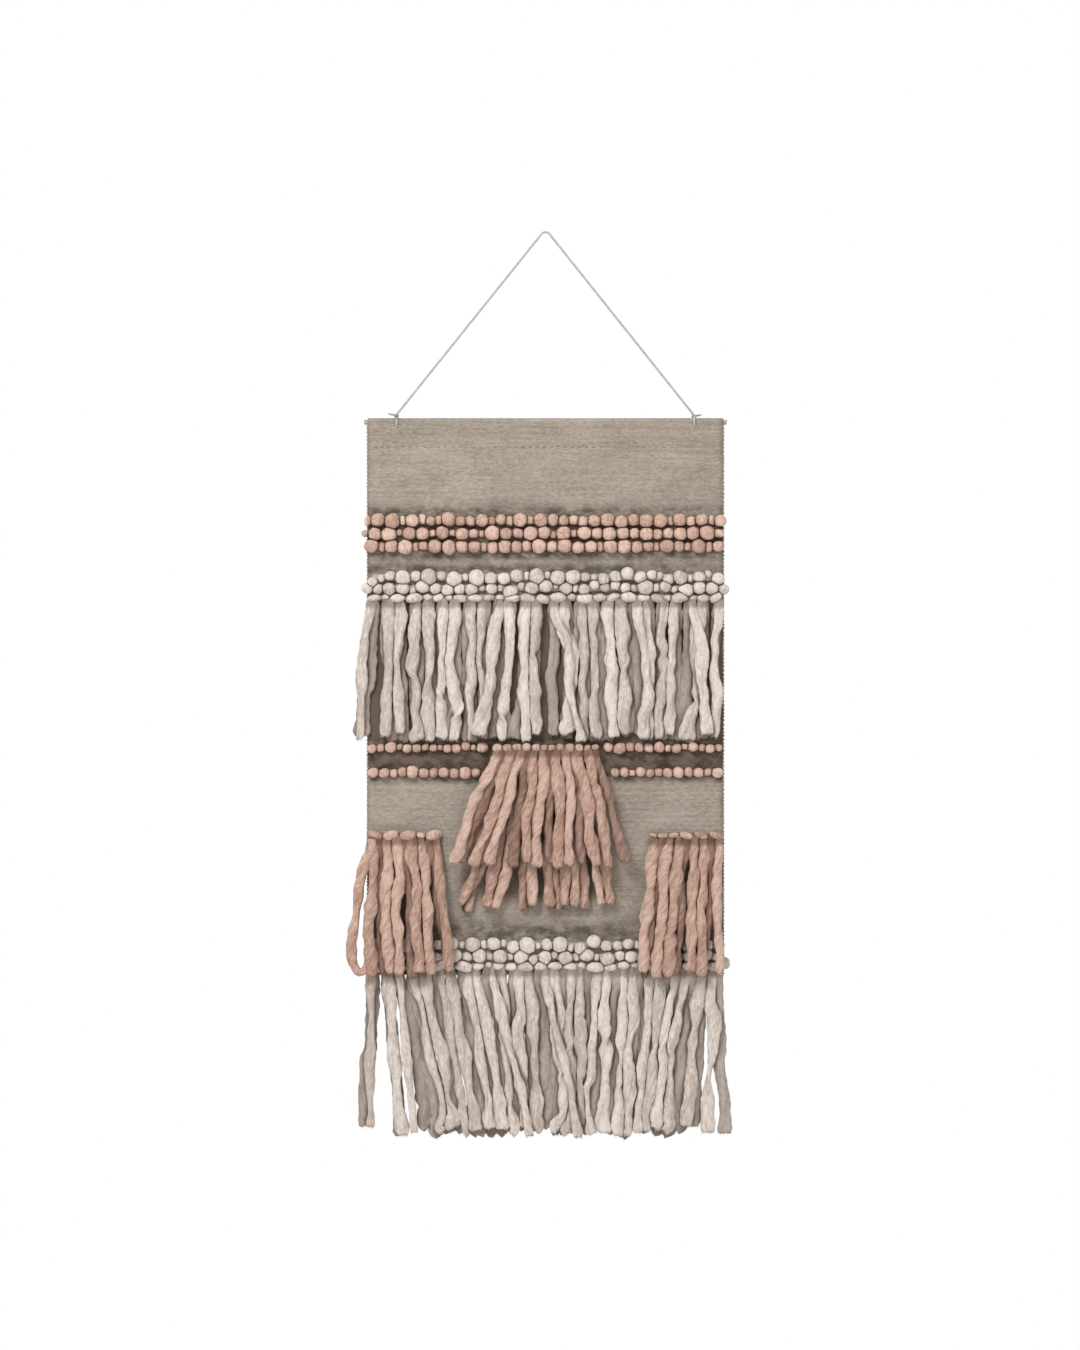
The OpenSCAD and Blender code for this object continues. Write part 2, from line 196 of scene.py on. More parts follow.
class Nodes(Tree):
    """The node tree of one material."""

    def __init__(self, name):
        self.material = bpy.data.materials.new(name)
        self.material.use_nodes = True
        super().__init__(self.material.node_tree)

    def attribute(self, name, output="Fac"):
        return self.add("ShaderNodeAttribute", attribute_name=name).outputs[output]

    def noise(self, vector, scale, detail=3.0, roughness=0.55, stretch=None):
        if stretch:
            mapping = self.add("ShaderNodeMapping", {"Vector": vector})
            mapping.inputs["Scale"].default_value = stretch
            vector = mapping.outputs["Vector"]
        inputs = {"Scale": scale, "Detail": detail, "Roughness": roughness, "Vector": vector}
        return self.add("ShaderNodeTexNoise", inputs).outputs["Fac"]

    def ramp(self, value, *stops):
        node = self.add("ShaderNodeValToRGB", {"Fac": value})
        elements = node.color_ramp.elements
        while len(elements) < len(stops):
            elements.new(0.5)
        for element, (position, colour) in zip(elements, stops):
            element.position = position
            element.color = (*colour, 1)
        return node.outputs["Color"]

    def mix(self, factor, first, second):
        inputs = {0: factor, 6: first, 7: second}
        return self.add("ShaderNodeMix", inputs, data_type="RGBA").outputs[2]

    def math(self, operation, first, second):
        node = self.add("ShaderNodeMath", {0: first, 1: second}, operation=operation)
        return node.outputs["Value"]

    def total(self, *terms):
        """The sum of some outputs, each times its share."""
        parts = [self.math("MULTIPLY", value, share) for value, share in terms]
        value = parts[0]
        for part in parts[1:]:
            value = self.math("ADD", value, part)
        return value

    def finish(self, colour, roughness, height, strength, depth, sheen=(0.0, 0.5, (1, 1, 1))):
        """height is pressed into the surface as a bump. sheen is its weight, roughness and tint."""
        bump = {"Strength": strength, "Distance": depth, "Height": height}
        weight, spread, tint = sheen
        self.feed("Principled BSDF", {
            "Base Color": colour,
            "Roughness": roughness,
            "Normal": self.add("ShaderNodeBump", bump).outputs["Normal"],
            "Sheen Weight": weight,
            "Sheen Roughness": spread,
            "Sheen Tint": tint,
            "Specular IOR Level": 0.25,
        })
        return self.material


def wool_material(name, gap, dark, middle, light, flecks):
    """Felted roving. grain runs along the yarn in its third coordinate, so that fibres follow it.

    crown is 1 in the open and falls to 0 deep between neighbours, where the gap colour is painted
    in as shade.
    """
    nodes = Nodes(name)
    grain = nodes.attribute("grain", "Vector")
    clouds = nodes.noise(grain, 60.0, 3.0, stretch=(1.0, 1.0, 0.45))
    fibres = nodes.noise(grain, 640.0, 4.0, 0.7, (1.0, 1.0, 0.14))
    felt = nodes.noise(grain, 1300.0, 3.0, 0.7)
    lumps = nodes.noise(grain, 260.0, 3.0, 0.6, (1.0, 1.0, 0.5))
    spots = nodes.noise(grain, 520.0, 2.0, 0.5, (1.0, 1.0, 0.4))
    tone = nodes.attribute("tone")
    value = nodes.total((clouds, 0.2), (fibres, 0.4), (lumps, 0.3), (tone, 0.1))
    colour = nodes.ramp(value, (0.42, dark), (0.5, middle), (0.575, light))
    colour = nodes.mix(nodes.range(spots, 0.60, 0.72, 0.0, 0.6), colour, flecks)
    # painted shade: the gap colour takes over where crown is low
    sunk = nodes.range(nodes.attribute("crown"), 0.0, 0.85, 0.92, 0.0)
    colour = nodes.mix(sunk, colour, gap)
    roughness = nodes.range(fibres, 0.3, 0.7, 0.82, 0.96)
    height = nodes.total((fibres, 0.5), (felt, 0.15), (lumps, 0.35))
    return nodes.finish(colour, roughness, height, 0.9, 3.0 * MM, (0.1, 0.45, light))


def cloth_material():
    """Weft-faced plain weave: fine picks and faint streaks, with painted shade in its grooves, by
    the bands and behind the strands.
    """
    nodes = Nodes("ground_cloth_weave")
    where = nodes.add("ShaderNodeTexCoord").outputs["Object"]
    streaks = nodes.noise(where, 60.0, 4.0, 0.6, (0.15, 1.0, 4.0))
    picks = nodes.noise(where, 380.0, 4.0, 0.75, (0.5, 1.0, 1.2))
    clouds = nodes.noise(where, 16.0, 4.0, 0.6, (0.8, 1.0, 1.2))
    hue = nodes.noise(where, 30.0, 3.0, 0.6, (0.6, 1.0, 1.0))
    spots = nodes.noise(where, 60.0, 4.0, 0.65, (0.7, 1.0, 1.0))
    warp = nodes.noise(where, 1100.0, 2.0, 0.5, (1.0, 1.0, 0.35))
    colour = nodes.ramp(
        nodes.total((streaks, 0.25), (picks, 0.55), (clouds, 0.2)),
        (0.40, (0.225, 0.188, 0.152)),
        (0.5, (0.325, 0.280, 0.230)),
        (0.60, (0.420, 0.370, 0.310)),
    )
    # reddish and greenish drifts in the dye
    colour = nodes.mix(nodes.range(hue, 0.42, 0.66, 0.0, 0.3), colour, (0.375, 0.272, 0.235))
    colour = nodes.mix(nodes.range(hue, 0.30, 0.44, 0.3, 0.0), colour, (0.290, 0.278, 0.210))
    # painted shade in the grooves between the picks
    grooves = nodes.range(nodes.attribute("crown"), 0.0, 0.8, 0.14, 0.0)
    colour = nodes.mix(grooves, colour, (0.12, 0.095, 0.075))
    # painted shade by the bands of loops: mottled brown round them, darkest inside the blush rows
    near = nodes.attribute("near_band")
    shade_mottle = nodes.range(spots, 0.42, 0.60)
    uneven = nodes.range(shade_mottle, 0.0, 1.0, 0.25, 1.0)
    painted_band_shade = nodes.math("MULTIPLY", nodes.range(near, 0.03, 0.42), uneven)
    colour = nodes.mix(painted_band_shade, colour, (0.100, 0.085, 0.062))
    streaked = nodes.range(shade_mottle, 0.0, 1.0, 0.6, 0.05)
    deep = nodes.mix(streaked, (0.052, 0.026, 0.016), (0.190, 0.150, 0.115))
    colour = nodes.mix(nodes.range(near, 0.72, 0.96, 0.0, 0.93), colour, deep)
    # painted shadow of the strands that hang before the cloth
    veil_shadow = nodes.range(nodes.attribute("tone"), 0.0, 1.0, 0.0, 0.8)
    colour = nodes.mix(veil_shadow, colour, (0.085, 0.058, 0.042))
    roughness = nodes.range(picks, 0.3, 0.7, 0.85, 0.97)
    height = nodes.total((picks, 0.6), (warp, 0.4))
    return nodes.finish(colour, roughness, height, 0.6, 0.7 * MM, (0.05, 0.5, (1, 1, 1)))


def twisted_material(name, dark, light, groove):
    """Spun yarn: crown is 1 on the crown of a ply and 0 in the groove between plies, where shade is
    painted.
    """
    nodes = Nodes(name)
    grain = nodes.attribute("grain", "Vector")
    fibres = nodes.noise(grain, 1800.0, 3.0, 0.6, (1.0, 1.0, 0.15))
    clouds = nodes.noise(grain, 90.0, 2.0)
    colour = nodes.ramp(nodes.total((fibres, 0.6), (clouds, 0.4)), (0.35, dark), (0.65, light))
    sunk = nodes.range(nodes.attribute("crown"), 0.0, 0.7, 0.75, 0.0)
    colour = nodes.mix(sunk, colour, groove)
    return nodes.finish(colour, 0.9, fibres, 0.5, 0.4 * MM, (0.05, 0.5, (1, 1, 1)))


def wood_material():
    nodes = Nodes("dowel_wood_grain")
    where = nodes.add("ShaderNodeTexCoord").outputs["Object"]
    grain = nodes.noise(where, 500.0, 4.0, 0.6, (0.04, 1.0, 1.0))
    rings = nodes.noise(where, 160.0, 2.0, 0.5, (0.06, 1.0, 1.0))
    colour = nodes.ramp(
        nodes.total((grain, 0.6), (rings, 0.4)),
        (0.3, (0.30, 0.21, 0.14)),
        (0.5, (0.45, 0.34, 0.25)),
        (0.7, (0.56, 0.45, 0.34)),
    )
    return nodes.finish(colour, nodes.range(grain, 0.3, 0.7, 0.5, 0.72), grain, 0.35, 0.3 * MM)


# ---------------------------------------------------------------- meshes


def smoothstep(t):
    t = np.clip(t, 0, 1)
    return t * t * (3 - 2 * t)


def normalised(v):
    return v / np.maximum(np.linalg.norm(v, axis=-1, keepdims=True), 1e-12)


class Mesh:
    """Gathers parts of one piece: points, faces, and point attributes."""

    def __init__(self):
        self.points, self.quads, self.tris, self.grain = [], [], [], []
        self.values = {"tone": [], "crown": [], "near_band": []}
        self.count = 0

    def add(self, points, quads=None, tris=None, grain=None, tone=0.5, crown=1.0, near=0.0):
        self.points.append(points)
        for gathered, faces in ((self.quads, quads), (self.tris, tris)):
            if faces is not None:
                gathered.append(np.asarray(faces) + self.count)
        self.grain.append(points if grain is None else grain)
        for gathered, value in zip(self.values.values(), (tone, crown, near)):
            gathered.append(np.broadcast_to(np.asarray(value, float), (len(points),)))
        self.count += len(points)

    def build(self, name, material, attributes=("grain", "tone", "crown")):
        mesh = bpy.data.meshes.new(name)
        points = np.concatenate(self.points)
        groups = [np.concatenate(faces) for faces in (self.quads, self.tris) if faces]
        sizes = np.concatenate([np.full(len(faces), faces.shape[1]) for faces in groups])
        corners = np.concatenate([faces.ravel() for faces in groups]).astype(np.int32)
        starts = np.concatenate([[0], np.cumsum(sizes)[:-1]]).astype(np.int32)
        mesh.vertices.add(len(points))
        mesh.vertices.foreach_set("co", points.astype(np.float32).ravel())
        mesh.loops.add(len(corners))
        mesh.loops.foreach_set("vertex_index", corners)
        mesh.polygons.add(len(sizes))
        mesh.polygons.foreach_set("loop_start", starts)
        mesh.update(calc_edges=True)
        mesh.validate()
        mesh.polygons.foreach_set("use_smooth", np.ones(len(mesh.polygons), bool))
        for key in attributes:
            kind, field = ("FLOAT_VECTOR", "vector") if key == "grain" else ("FLOAT", "value")
            values = self.grain if key == "grain" else self.values[key]
            layer = mesh.attributes.new(key, kind, "POINT")
            layer.data.foreach_set(field, np.concatenate(values).astype(np.float32).ravel())
        mesh.materials.append(material)
        return link_object(name, mesh)


def lofted(rings):
    """Quads and end fans over rings of points, (n, sides, 3), closed on each end's middle."""
    n, sides, _ = rings.shape
    index = np.arange(n * sides).reshape(n, sides)
    right = np.roll(index, -1, axis=1)
    quads = np.stack([index[:-1], right[:-1], right[1:], index[1:]], axis=-1).reshape(-1, 4)
    first, last = n * sides, n * sides + 1
    start_fan = np.stack([right[0], index[0], np.full(sides, first)], axis=-1)
    end_fan = np.stack([index[-1], right[-1], np.full(sides, last)], axis=-1)
    ends = [[rings[0].mean(axis=0)], [rings[-1].mean(axis=0)]]
    points = np.concatenate([rings.reshape(-1, 3), *ends])
    return points, quads, np.concatenate([start_fan, end_fan])


def yarn_grain(radius, turned, s):
    """Grain round and along a yarn. Its two ends' middles take the first and the last value."""
    along = np.broadcast_to(s[:, None], turned.shape)
    grain = np.stack([radius * np.cos(turned), radius * np.sin(turned), along], axis=-1)
    grain = grain.reshape(-1, 3)
    return np.concatenate([grain, grain[:1], grain[-1:]])


def path_frames(path, front):
    """Side and front vectors along a path. front is the side kept towards the viewer."""
    tangent = normalised(np.gradient(path, axis=0))
    side = normalised(np.cross(tangent, np.broadcast_to(np.array(front, float), path.shape)))
    return side, np.cross(side, tangent)


def arc_length(path):
    steps = np.linalg.norm(np.diff(path, axis=0), axis=1)
    return np.concatenate([[0], np.cumsum(steps)])


def resampled(points, step):
    """Points a step apart along a smooth curve through the given points."""
    points = np.array(points, float)
    knots = arc_length(points)
    fine = np.linspace(0, knots[-1], max(2, int(knots[-1] / step) + 1))
    tangent = np.gradient(points, knots, axis=0)
    i = np.clip(np.searchsorted(knots, fine, side="right") - 1, 0, len(knots) - 2)
    span = (knots[i + 1] - knots[i])[:, None]
    t = ((fine - knots[i])[:, None]) / span
    return (
        (2 * t**3 - 3 * t**2 + 1) * points[i]
        + (t**3 - 2 * t**2 + t) * span * tangent[i]
        + (3 * t**2 - 2 * t**3) * points[i + 1]
        + (t**3 - t**2) * span * tangent[i + 1]
    )


def add_spun(mesh, path, radius, plies, pitch, front=(0, -1, 0), depth=0.22, sides=18):
    """Twisted yarn along a path: plies round strands laid together with the given pitch."""
    path = np.array(path, float)
    s = arc_length(path)
    side, facing = path_frames(path, front)
    angle = np.linspace(0, TAU, sides, endpoint=False)
    turned = angle[None, :] + TAU * s[:, None] / pitch
    lay = np.abs(np.cos(plies * turned / 2))
    reach = radius * (1 - depth + depth * lay)
    rings = (
        path[:, None, :]
        + (reach * np.cos(angle))[..., None] * side[:, None, :]
        + (reach * np.sin(angle))[..., None] * facing[:, None, :]
    )
    # crown marks the grooves between plies, for painted shade
    crown = np.concatenate([lay.ravel(), [0.5, 0.5]])
    mesh.add(*lofted(rings), yarn_grain(radius, turned, s), crown=crown)


# ---------------------------------------------------------------- cord, loops and knots

# Cord route in millimetres, from the left knot up to the hook. The right half mirrors it
CORD_RISE = [
    (-190, -6, -232), (-176, -5.5, -214.5), (-160, -5, -194.5), (-128, -4, -154.5),
    (-96, -3, -114.5), (-64, -2, -74.5), (-32, -1, -34.5), (-16, -0.5, -14.5),
    (-8, -0.3, -4.5), (-5.5, -0.2, -1.3), (-4.2, -0.1, 0.1), (-2.2, 0, 1.15),
]
CORD_ROUTE = CORD_RISE + [(0, 0, 1.5)] + [(-x, -y, z) for x, y, z in reversed(CORD_RISE)]
CORD_PITCH = 7.5 * MM
CORD_STEP = 0.7 * MM
KNOT_RISE = 3.9 * MM
KNOT_SIZE = 0.8 * MM
KNOT_YARN_R = 1.1 * MM
TAIL_R = 1.2 * MM
TAIL_FRAYS = 9


def add_cord(material, knot_material):
    route = resampled(np.array(CORD_ROUTE) * MM, CORD_STEP)
    mesh = Mesh()
    add_spun(mesh, route, CORD_D / 2, 3, CORD_PITCH)
    cord = mesh.build("hanging_cord_twist", material)
    stand_for(cord, "cord", "hanging_cord")
    for name, side, x in (("left", -1, route[0][0]), ("right", 1, route[-1][0])):
        add_cord_knot(name, side, x, knot_material)
        add_cord_loop(name, x, material)


def add_cord_knot(name, side, x, material):
    """Overhand knot with its short frayed tail."""
    low, high = box(name + "_cord_knot")
    hub = np.array([x, (low[1] + high[1]) / 2, low[2] + KNOT_RISE])
    t = np.linspace(0, TAU, 90)
    trefoil = KNOT_SIZE * np.stack(
        [np.sin(t) + 2 * np.sin(2 * t), -0.9 * np.sin(3 * t), np.cos(t) - 2 * np.cos(2 * t)],
        axis=-1,
    )
    mesh = Mesh()
    knot = hub + trefoil[:-2]
    add_spun(mesh, knot, KNOT_YARN_R, 3, CORD_PITCH, front=(0.3, -1, 0.2), sides=14)
    out = np.sign(x)
    run = [(0, 0.5, 0.5), (2.5, 1.0, 1.4), (5.0, 1.2, 2.1), (7.6, 0.8, 2.4)]
    tail = [hub + np.array([out * a, side * b, c]) * MM for a, b, c in run]
    add_spun(mesh, resampled(tail, 0.5 * MM), TAIL_R, 3, CORD_PITCH, depth=0.3, sides=14)
    rng = np.random.default_rng(31)
    for _ in range(TAIL_FRAYS):
        away = normalised(np.array([out * 1.0, 0.0, 0.25]) + rng.normal(0, 0.3, 3))
        bend = rng.normal(0, 0.5, 3) * MM
        tip = tail[-1]
        fray = [tip - away * 0.5 * MM, tip + away * 1.1 * MM, tip + away * 2.2 * MM + bend]
        add_spun(mesh, resampled(fray, 0.6 * MM), 0.28 * MM, 2, 3 * MM, sides=6)
    piece = mesh.build(name + "_cord_knot_tied", material)
    return stand_for(piece, "cord", name + "_cord_knot")


def add_cord_loop(name, x, material):
    """The loop round the hem that a knot closes."""
    node = name + "_cord_loop"
    low, high = box(node)
    radius = (high[2] - low[2]) / 2 - CORD_D / 2
    angle = np.linspace(0, TAU, 100)
    across, up = radius * np.sin(angle), DOWEL_Z + radius * np.cos(angle)
    ring = np.stack([np.full(100, x), across, up], axis=-1)
    mesh = Mesh()
    add_spun(mesh, ring, CORD_D / 2 * 0.97, 3, CORD_PITCH, front=(1, 0, 0), sides=16)
    stand_for(mesh.build(node + "_twist", material), "cord", node)


# ---------------------------------------------------------------- ground cloth

RIB_PITCH = 2.6 * MM
RIB_STEPS = 4
RIB_DEPTH = 0.17 * MM
PUCKER = 0.35 * MM
CLOTH_COLUMNS = 56
# The hem's layers leave the fold a little inside it
SLEEVE_SIDE = SLEEVE_R * 0.98
# Bands of loops: their top and bottom nodes, how dark the painted shade is behind them, and how
# far it spreads past them
BAND_NODES = [
    ("blush_loop_row_1", "blush_loop_row_3", 1.0, 14 * MM),
    ("cream_loop_row_1", "upper_fringe_knots", 0.25, 13 * MM),
    ("blush_loop_row_4", "blush_loop_row_5", 0.97, 8 * MM),
    ("cream_loop_row_3", "bottom_fringe_knots", 0.12, 26 * MM),
]
# how dark the painted shade is at a band's edge
BAND_EDGE = 0.66


def front_layer_y(z):
    """Depth of the front layer: flat below the stitch line, and out round the dowel above it."""
    t = np.clip((z - STITCH_Z) / (DOWEL_Z - STITCH_Z), 0, 1)
    return FACE + (-SLEEVE_SIDE - FACE) * t


def cloth_outline():
    """Points round the cloth's section, from the front foot up, over the dowel and down."""
    step = RIB_PITCH / RIB_STEPS
    foot = CLOTH_LOW[2]
    z = np.arange(foot, DOWEL_Z, step)
    front = np.stack([front_layer_y(z), z], axis=-1)
    angle = np.linspace(math.radians(183), math.radians(-3), 22)
    fold_y, fold_z = SLEEVE_R * np.cos(angle), DOWEL_Z + SLEEVE_R * np.sin(angle)
    step *= 2
    z = np.arange(DOWEL_Z - step, TURN_Z, -step)
    t = np.clip((DOWEL_Z - z) / (DOWEL_Z - STITCH_Z), 0, 1)
    tail_y = SLEEVE_SIDE + (-FACE + CLOTH_T - SLEEVE_SIDE) * t
    tail = np.stack([tail_y, z], axis=-1)
    z = np.arange(TURN_Z, foot, -step)
    back = np.stack([np.full_like(z, -FACE), z], axis=-1)
    return np.concatenate([front, np.stack([fold_y, fold_z], axis=-1), tail, back])


def band_shade(z):
    """How dark the painted shade is behind and beside the bands of loops, from 1 to 0 on open
    cloth.
    """
    shade = np.zeros_like(z)
    for top, bottom, inside, spread in BAND_NODES:
        high = box(top)[1][2] - 3 * MM
        low = box(bottom)[0][2] + 3 * MM
        away = np.maximum(np.maximum(z - high, low - z), 0)
        level = inside + (BAND_EDGE - inside) * smoothstep(away / (4 * MM))
        shade = np.maximum(shade, level * np.exp(-((away / spread) ** 2)))
    return shade


def veil(x, z):
    """Painted shadow of hanging strands on the cloth: 1 behind them, falling to 0 round them."""
    top, foot = box("upper_fringe_knots")[0][2], box("blush_loop_row_4")[1][2]
    inward = np.minimum(top - z, z - foot)
    shade = smoothstep((inward + 6 * MM) / (12 * MM))
    for node in ("left_tassel_strands", "right_tassel_strands"):
        low, high = box(node)
        sides = [x - low[0], high[0] - x, z - low[2] + 8 * MM, high[2] - z]
        inward = np.minimum.reduce(sides)
        shade = np.maximum(shade, smoothstep((inward + 2 * MM) / (16 * MM)))
    # the centre tassel fans out downwards, and drifts to the left
    foot = box("centre_tassel_lower_strands")[0][2]
    head = box("centre_tassel_upper_knots")[0][2]
    down = np.clip((head - z) / (head - foot), 0, 1)
    half = (60 + 30 * down) * MM
    sides = [half - np.abs(x + 6 * MM * down), z - foot - 8 * MM, head - z + 8 * MM]
    inward = np.minimum.reduce(sides)
    return np.maximum(shade, smoothstep((inward + 2 * MM) / (20 * MM)))


def add_ground_cloth(material):
    outline = cloth_outline()
    count = len(outline)
    rng = np.random.default_rng(5)
    outward = np.roll(outline, -1, axis=0) - np.roll(outline, 1, axis=0)
    outward = normalised(np.stack([-outward[:, 1], outward[:, 0]], axis=-1))
    x = np.linspace(-1, 1, CLOTH_COLUMNS)
    s = arc_length(outline)
    across, along = x[:, None], s[None, :]
    waves = [(rng.uniform(2, 14), rng.uniform(4, 60), rng.uniform(0, 6.28)) for _ in range(9)]
    drift = sum(np.sin(a * across + b * along + c) for a, b, c in waves) / 9
    phase = along / RIB_PITCH + 0.22 * drift
    rib = np.abs(np.sin(math.pi * phase))
    swell = 1 + 0.35 * np.sin(9 * across + 0.9 * np.floor(phase) * 2.4)
    relief = RIB_DEPTH * (rib - 0.6) * swell
    pucker = PUCKER * np.sin(5.1 * across + 11 * along)
    y = outline[None, :, 0] + outward[None, :, 0] * relief + pucker
    z = outline[None, :, 1] + outward[None, :, 1] * relief
    edge = CLOTH_HALF + 0.5 * MM * np.sin(s * 41) + 0.3 * MM * np.sin(s * 117)
    points = np.stack([across * edge[None, :], y, z], axis=-1)
    mesh = Mesh()
    index = np.arange(CLOTH_COLUMNS * count).reshape(CLOTH_COLUMNS, count)
    right = np.roll(index, -1, axis=1)
    quads = np.stack([index[:-1], index[1:], right[1:], right[:-1]], axis=-1).reshape(-1, 4)
    flat = points.reshape(-1, 3)
    is_front = (flat[:, 1] < 0).astype(float)
    # painted shadow behind the strands, and painted shade by the bands and in the rib grooves, on
    # the front only
    tone = veil(flat[:, 0], flat[:, 2]) * is_front
    near = band_shade(flat[:, 2]) * is_front
    mesh.add(flat, quads, tone=tone, crown=rib.ravel(), near=near)
    close_cloth_edges(mesh, index)
    cloth = mesh.build("ground_cloth_woven", material, ("tone", "crown", "near_band"))
    return stand_for(cloth, "panel", "ground_cloth")


def close_cloth_edges(mesh, index):
    """Joins the front to the back along both side edges, pairing points at the same height."""
    height = mesh.points[0][:, 2]
    for column, flip in ((index[0], False), (index[-1], True)):
        # walks up the front and down the back together
        i, j = 0, len(column) - 1
        tris = []
        while j - i > 1:
            front_step = abs(height[column[i + 1]] - height[column[j]])
            if front_step <= abs(height[column[j - 1]] - height[column[i]]):
                tris.append((column[i], column[i + 1], column[j]))
                i += 1
            else:
                tris.append((column[i], column[j - 1], column[j]))
                j -= 1
        tris = np.array(tris)
        mesh.tris.append(tris[:, ::-1] if flip else tris)


def add_selvedge(name, side, material):
    """Yarn bound over a side edge of the cloth, turn by turn."""
    rng = np.random.default_rng(11 + side)
    pitch = 4.9 * MM
    top, foot = DOWEL_Z - 2 * MM, CLOTH_LOW[2] + 1.5 * MM
    turns = int((top - foot) / pitch)
    each = np.arange(turns + 1)
    t = np.linspace(0, turns, turns * 14)
    wander = np.interp(t, each, rng.normal(0, 0.12, turns + 1))
    angle = TAU * t
    z = foot + pitch * (t + wander)
    reach_x = (0.55 + 0.25 * np.interp(t, each, rng.uniform(-1, 1, turns + 1))) * MM
    y = front_layer_y(z) - FACE + 1.45 * MM * np.sin(angle)
    x = side * (CLOTH_HALF + 0.2 * MM + reach_x * np.cos(angle))
    mesh = Mesh()
    path = np.stack([x, y, z], axis=-1)
    add_spun(mesh, path, 0.85 * MM, 2, 4 * MM, front=(0, 0, 1), depth=0.18, sides=8)
    stand_for(mesh.build(name + "_bound", material), "panel", name)


def add_hem_stitching(material):
    """Running stitch through the hem: a dash on the front, then one on the back."""
    low, high = box("hem_stitching")
    rng = np.random.default_rng(17)
    step = 9 * MM
    count = int((high[0] - low[0]) / step)
    mesh = Mesh()
    for i in range(count + 1):
        x = low[0] + i * step + rng.normal(0, 0.3) * MM
        length = (5.4 + rng.normal(0, 0.4)) * MM
        tilt = rng.normal(0, 0.35) * MM
        sides = ((FACE - 0.35 * MM, x), (-FACE + CLOTH_T + 0.35 * MM, x + 4.6 * MM))
        for y, start in sides:
            inward = 1.3 * MM if y < 0 else -1.3 * MM
            dash = [
                (start, y + inward, STITCH_Z),
                (start + 0.25 * length, y, STITCH_Z + 0.3 * tilt),
                (start + 0.75 * length, y, STITCH_Z + tilt),
                (start + length, y + inward, STITCH_Z + tilt),
            ]
            path = resampled(dash, 0.6 * MM)
            add_spun(mesh, path, 0.5 * MM, 2, 1.8 * MM, front=(0, 0, 1), sides=8)
    stitches = mesh.build("hem_stitching_thread", material)
    return stand_for(stitches, "panel", "hem_stitching")


# ---------------------------------------------------------------- raised loops and knots

# How one row is laid out: the widths of its large, middle and small loops in millimetres, the
# share of each, how far their centres wander, their height and depth over their width, and their
# least height
Row = namedtuple("Row", "sizes shares wander tall out least")
BLUSH_ROW = Row((17.5, 13.5, 9), (0.46, 0.30, 0.24), 0.7, 1.0, 0.92, 13)
BLUSH_SMALL_ROW = BLUSH_ROW._replace(shares=(0.30, 0.25, 0.45), least=9.5)
CREAM_ROW = Row((18, 14, 9), (0.42, 0.22, 0.36), 2.2, 1.0, 0.9, 11)
CREAM_KNOTS = Row((22, 17, 12), (0.4, 0.3, 0.3), 0.7, 0.6, 0.8, 10)
BROKEN_ROW = Row((14.5, 12, 9), (0.4, 0.4, 0.2), 0.8, 0.95, 0.95, 0)
SIDE_KNOTS = Row((22, 18, 12), (0.5, 0.3, 0.2), 0.3, 0.56, 0.55, 0)
CENTRE_KNOTS = Row((13, 11, 9), (0.4, 0.4, 0.2), 0.3, 0.8, 0.7, 0)
# How far rows stand past their nodes on the left and the right, in millimetres
EDGE_REACH = {
    "blush_loop_row_1": (4, 3),
    "blush_loop_row_2": (9, 2),
    "blush_loop_row_3": (4, 2),
    "cream_loop_row_1": (2, 3),
    "cream_loop_row_2": (7, 7),
    "cream_loop_row_3": (2, 2),
    "cream_loop_row_4": (3, 9),
}
TASSEL_REACH = (1, 1)
# Where the broken rows stop on each side of the centre tassel
BREAKS = {"blush_loop_row_4": 74 * MM, "blush_loop_row_5": 83 * MM}
ROW_BREAK = 40 * MM
NEIGHBOURS = 26 * MM
SQUARENESS = 2.1
SOFT = 1.7 * MM
PRESS_GAP = 0.1 * MM
RUNNING_SHADE = 0.35


def unit_sphere(level):
    work = bmesh.new()
    bmesh.ops.create_icosphere(work, subdivisions=level, radius=1)
    points = np.array([v.co for v in work.verts])
    faces = np.array([[v.index for v in f.verts] for f in work.faces])
    work.free()
    return points, faces


BALL, BALL_FACES = unit_sphere(4)


def row_sizes(rng, width, sizes, shares):
    """Widths of the loops that fill a row, in the mix given by shares."""
    widths = []
    last = None
    while sum(widths) < width:
        kind = rng.choice(3, p=shares)
        if kind == 2 and last == 2:
            kind = 0
        last = kind
        widths.append(sizes[kind] * MM * rng.uniform(0.9, 1.1))
    return np.array(widths) * width / sum(widths)


def layout_row(rng, x_from, x_to, z, row):
    """Centres and radii of one row of loops."""
    widths = row_sizes(rng, x_to - x_from, row.sizes, row.shares)
    n = len(widths)
    depths = np.minimum(widths, row.sizes[0] * MM) / 2 * row.out * rng.uniform(0.92, 1.08, n)
    heights = widths * row.tall * rng.uniform(0.9, 1.12, n)
    heights = np.maximum(heights, row.least * MM * rng.uniform(0.85, 1.1, n)) / 2
    radii = np.stack([widths / 2 * 1.06, depths, heights], axis=-1)
    x = x_from + np.cumsum(widths) - widths / 2
    up = z + rng.normal(0, row.wander * MM, n)
    return np.stack([x, FACE - depths * 0.72, up], axis=-1), radii


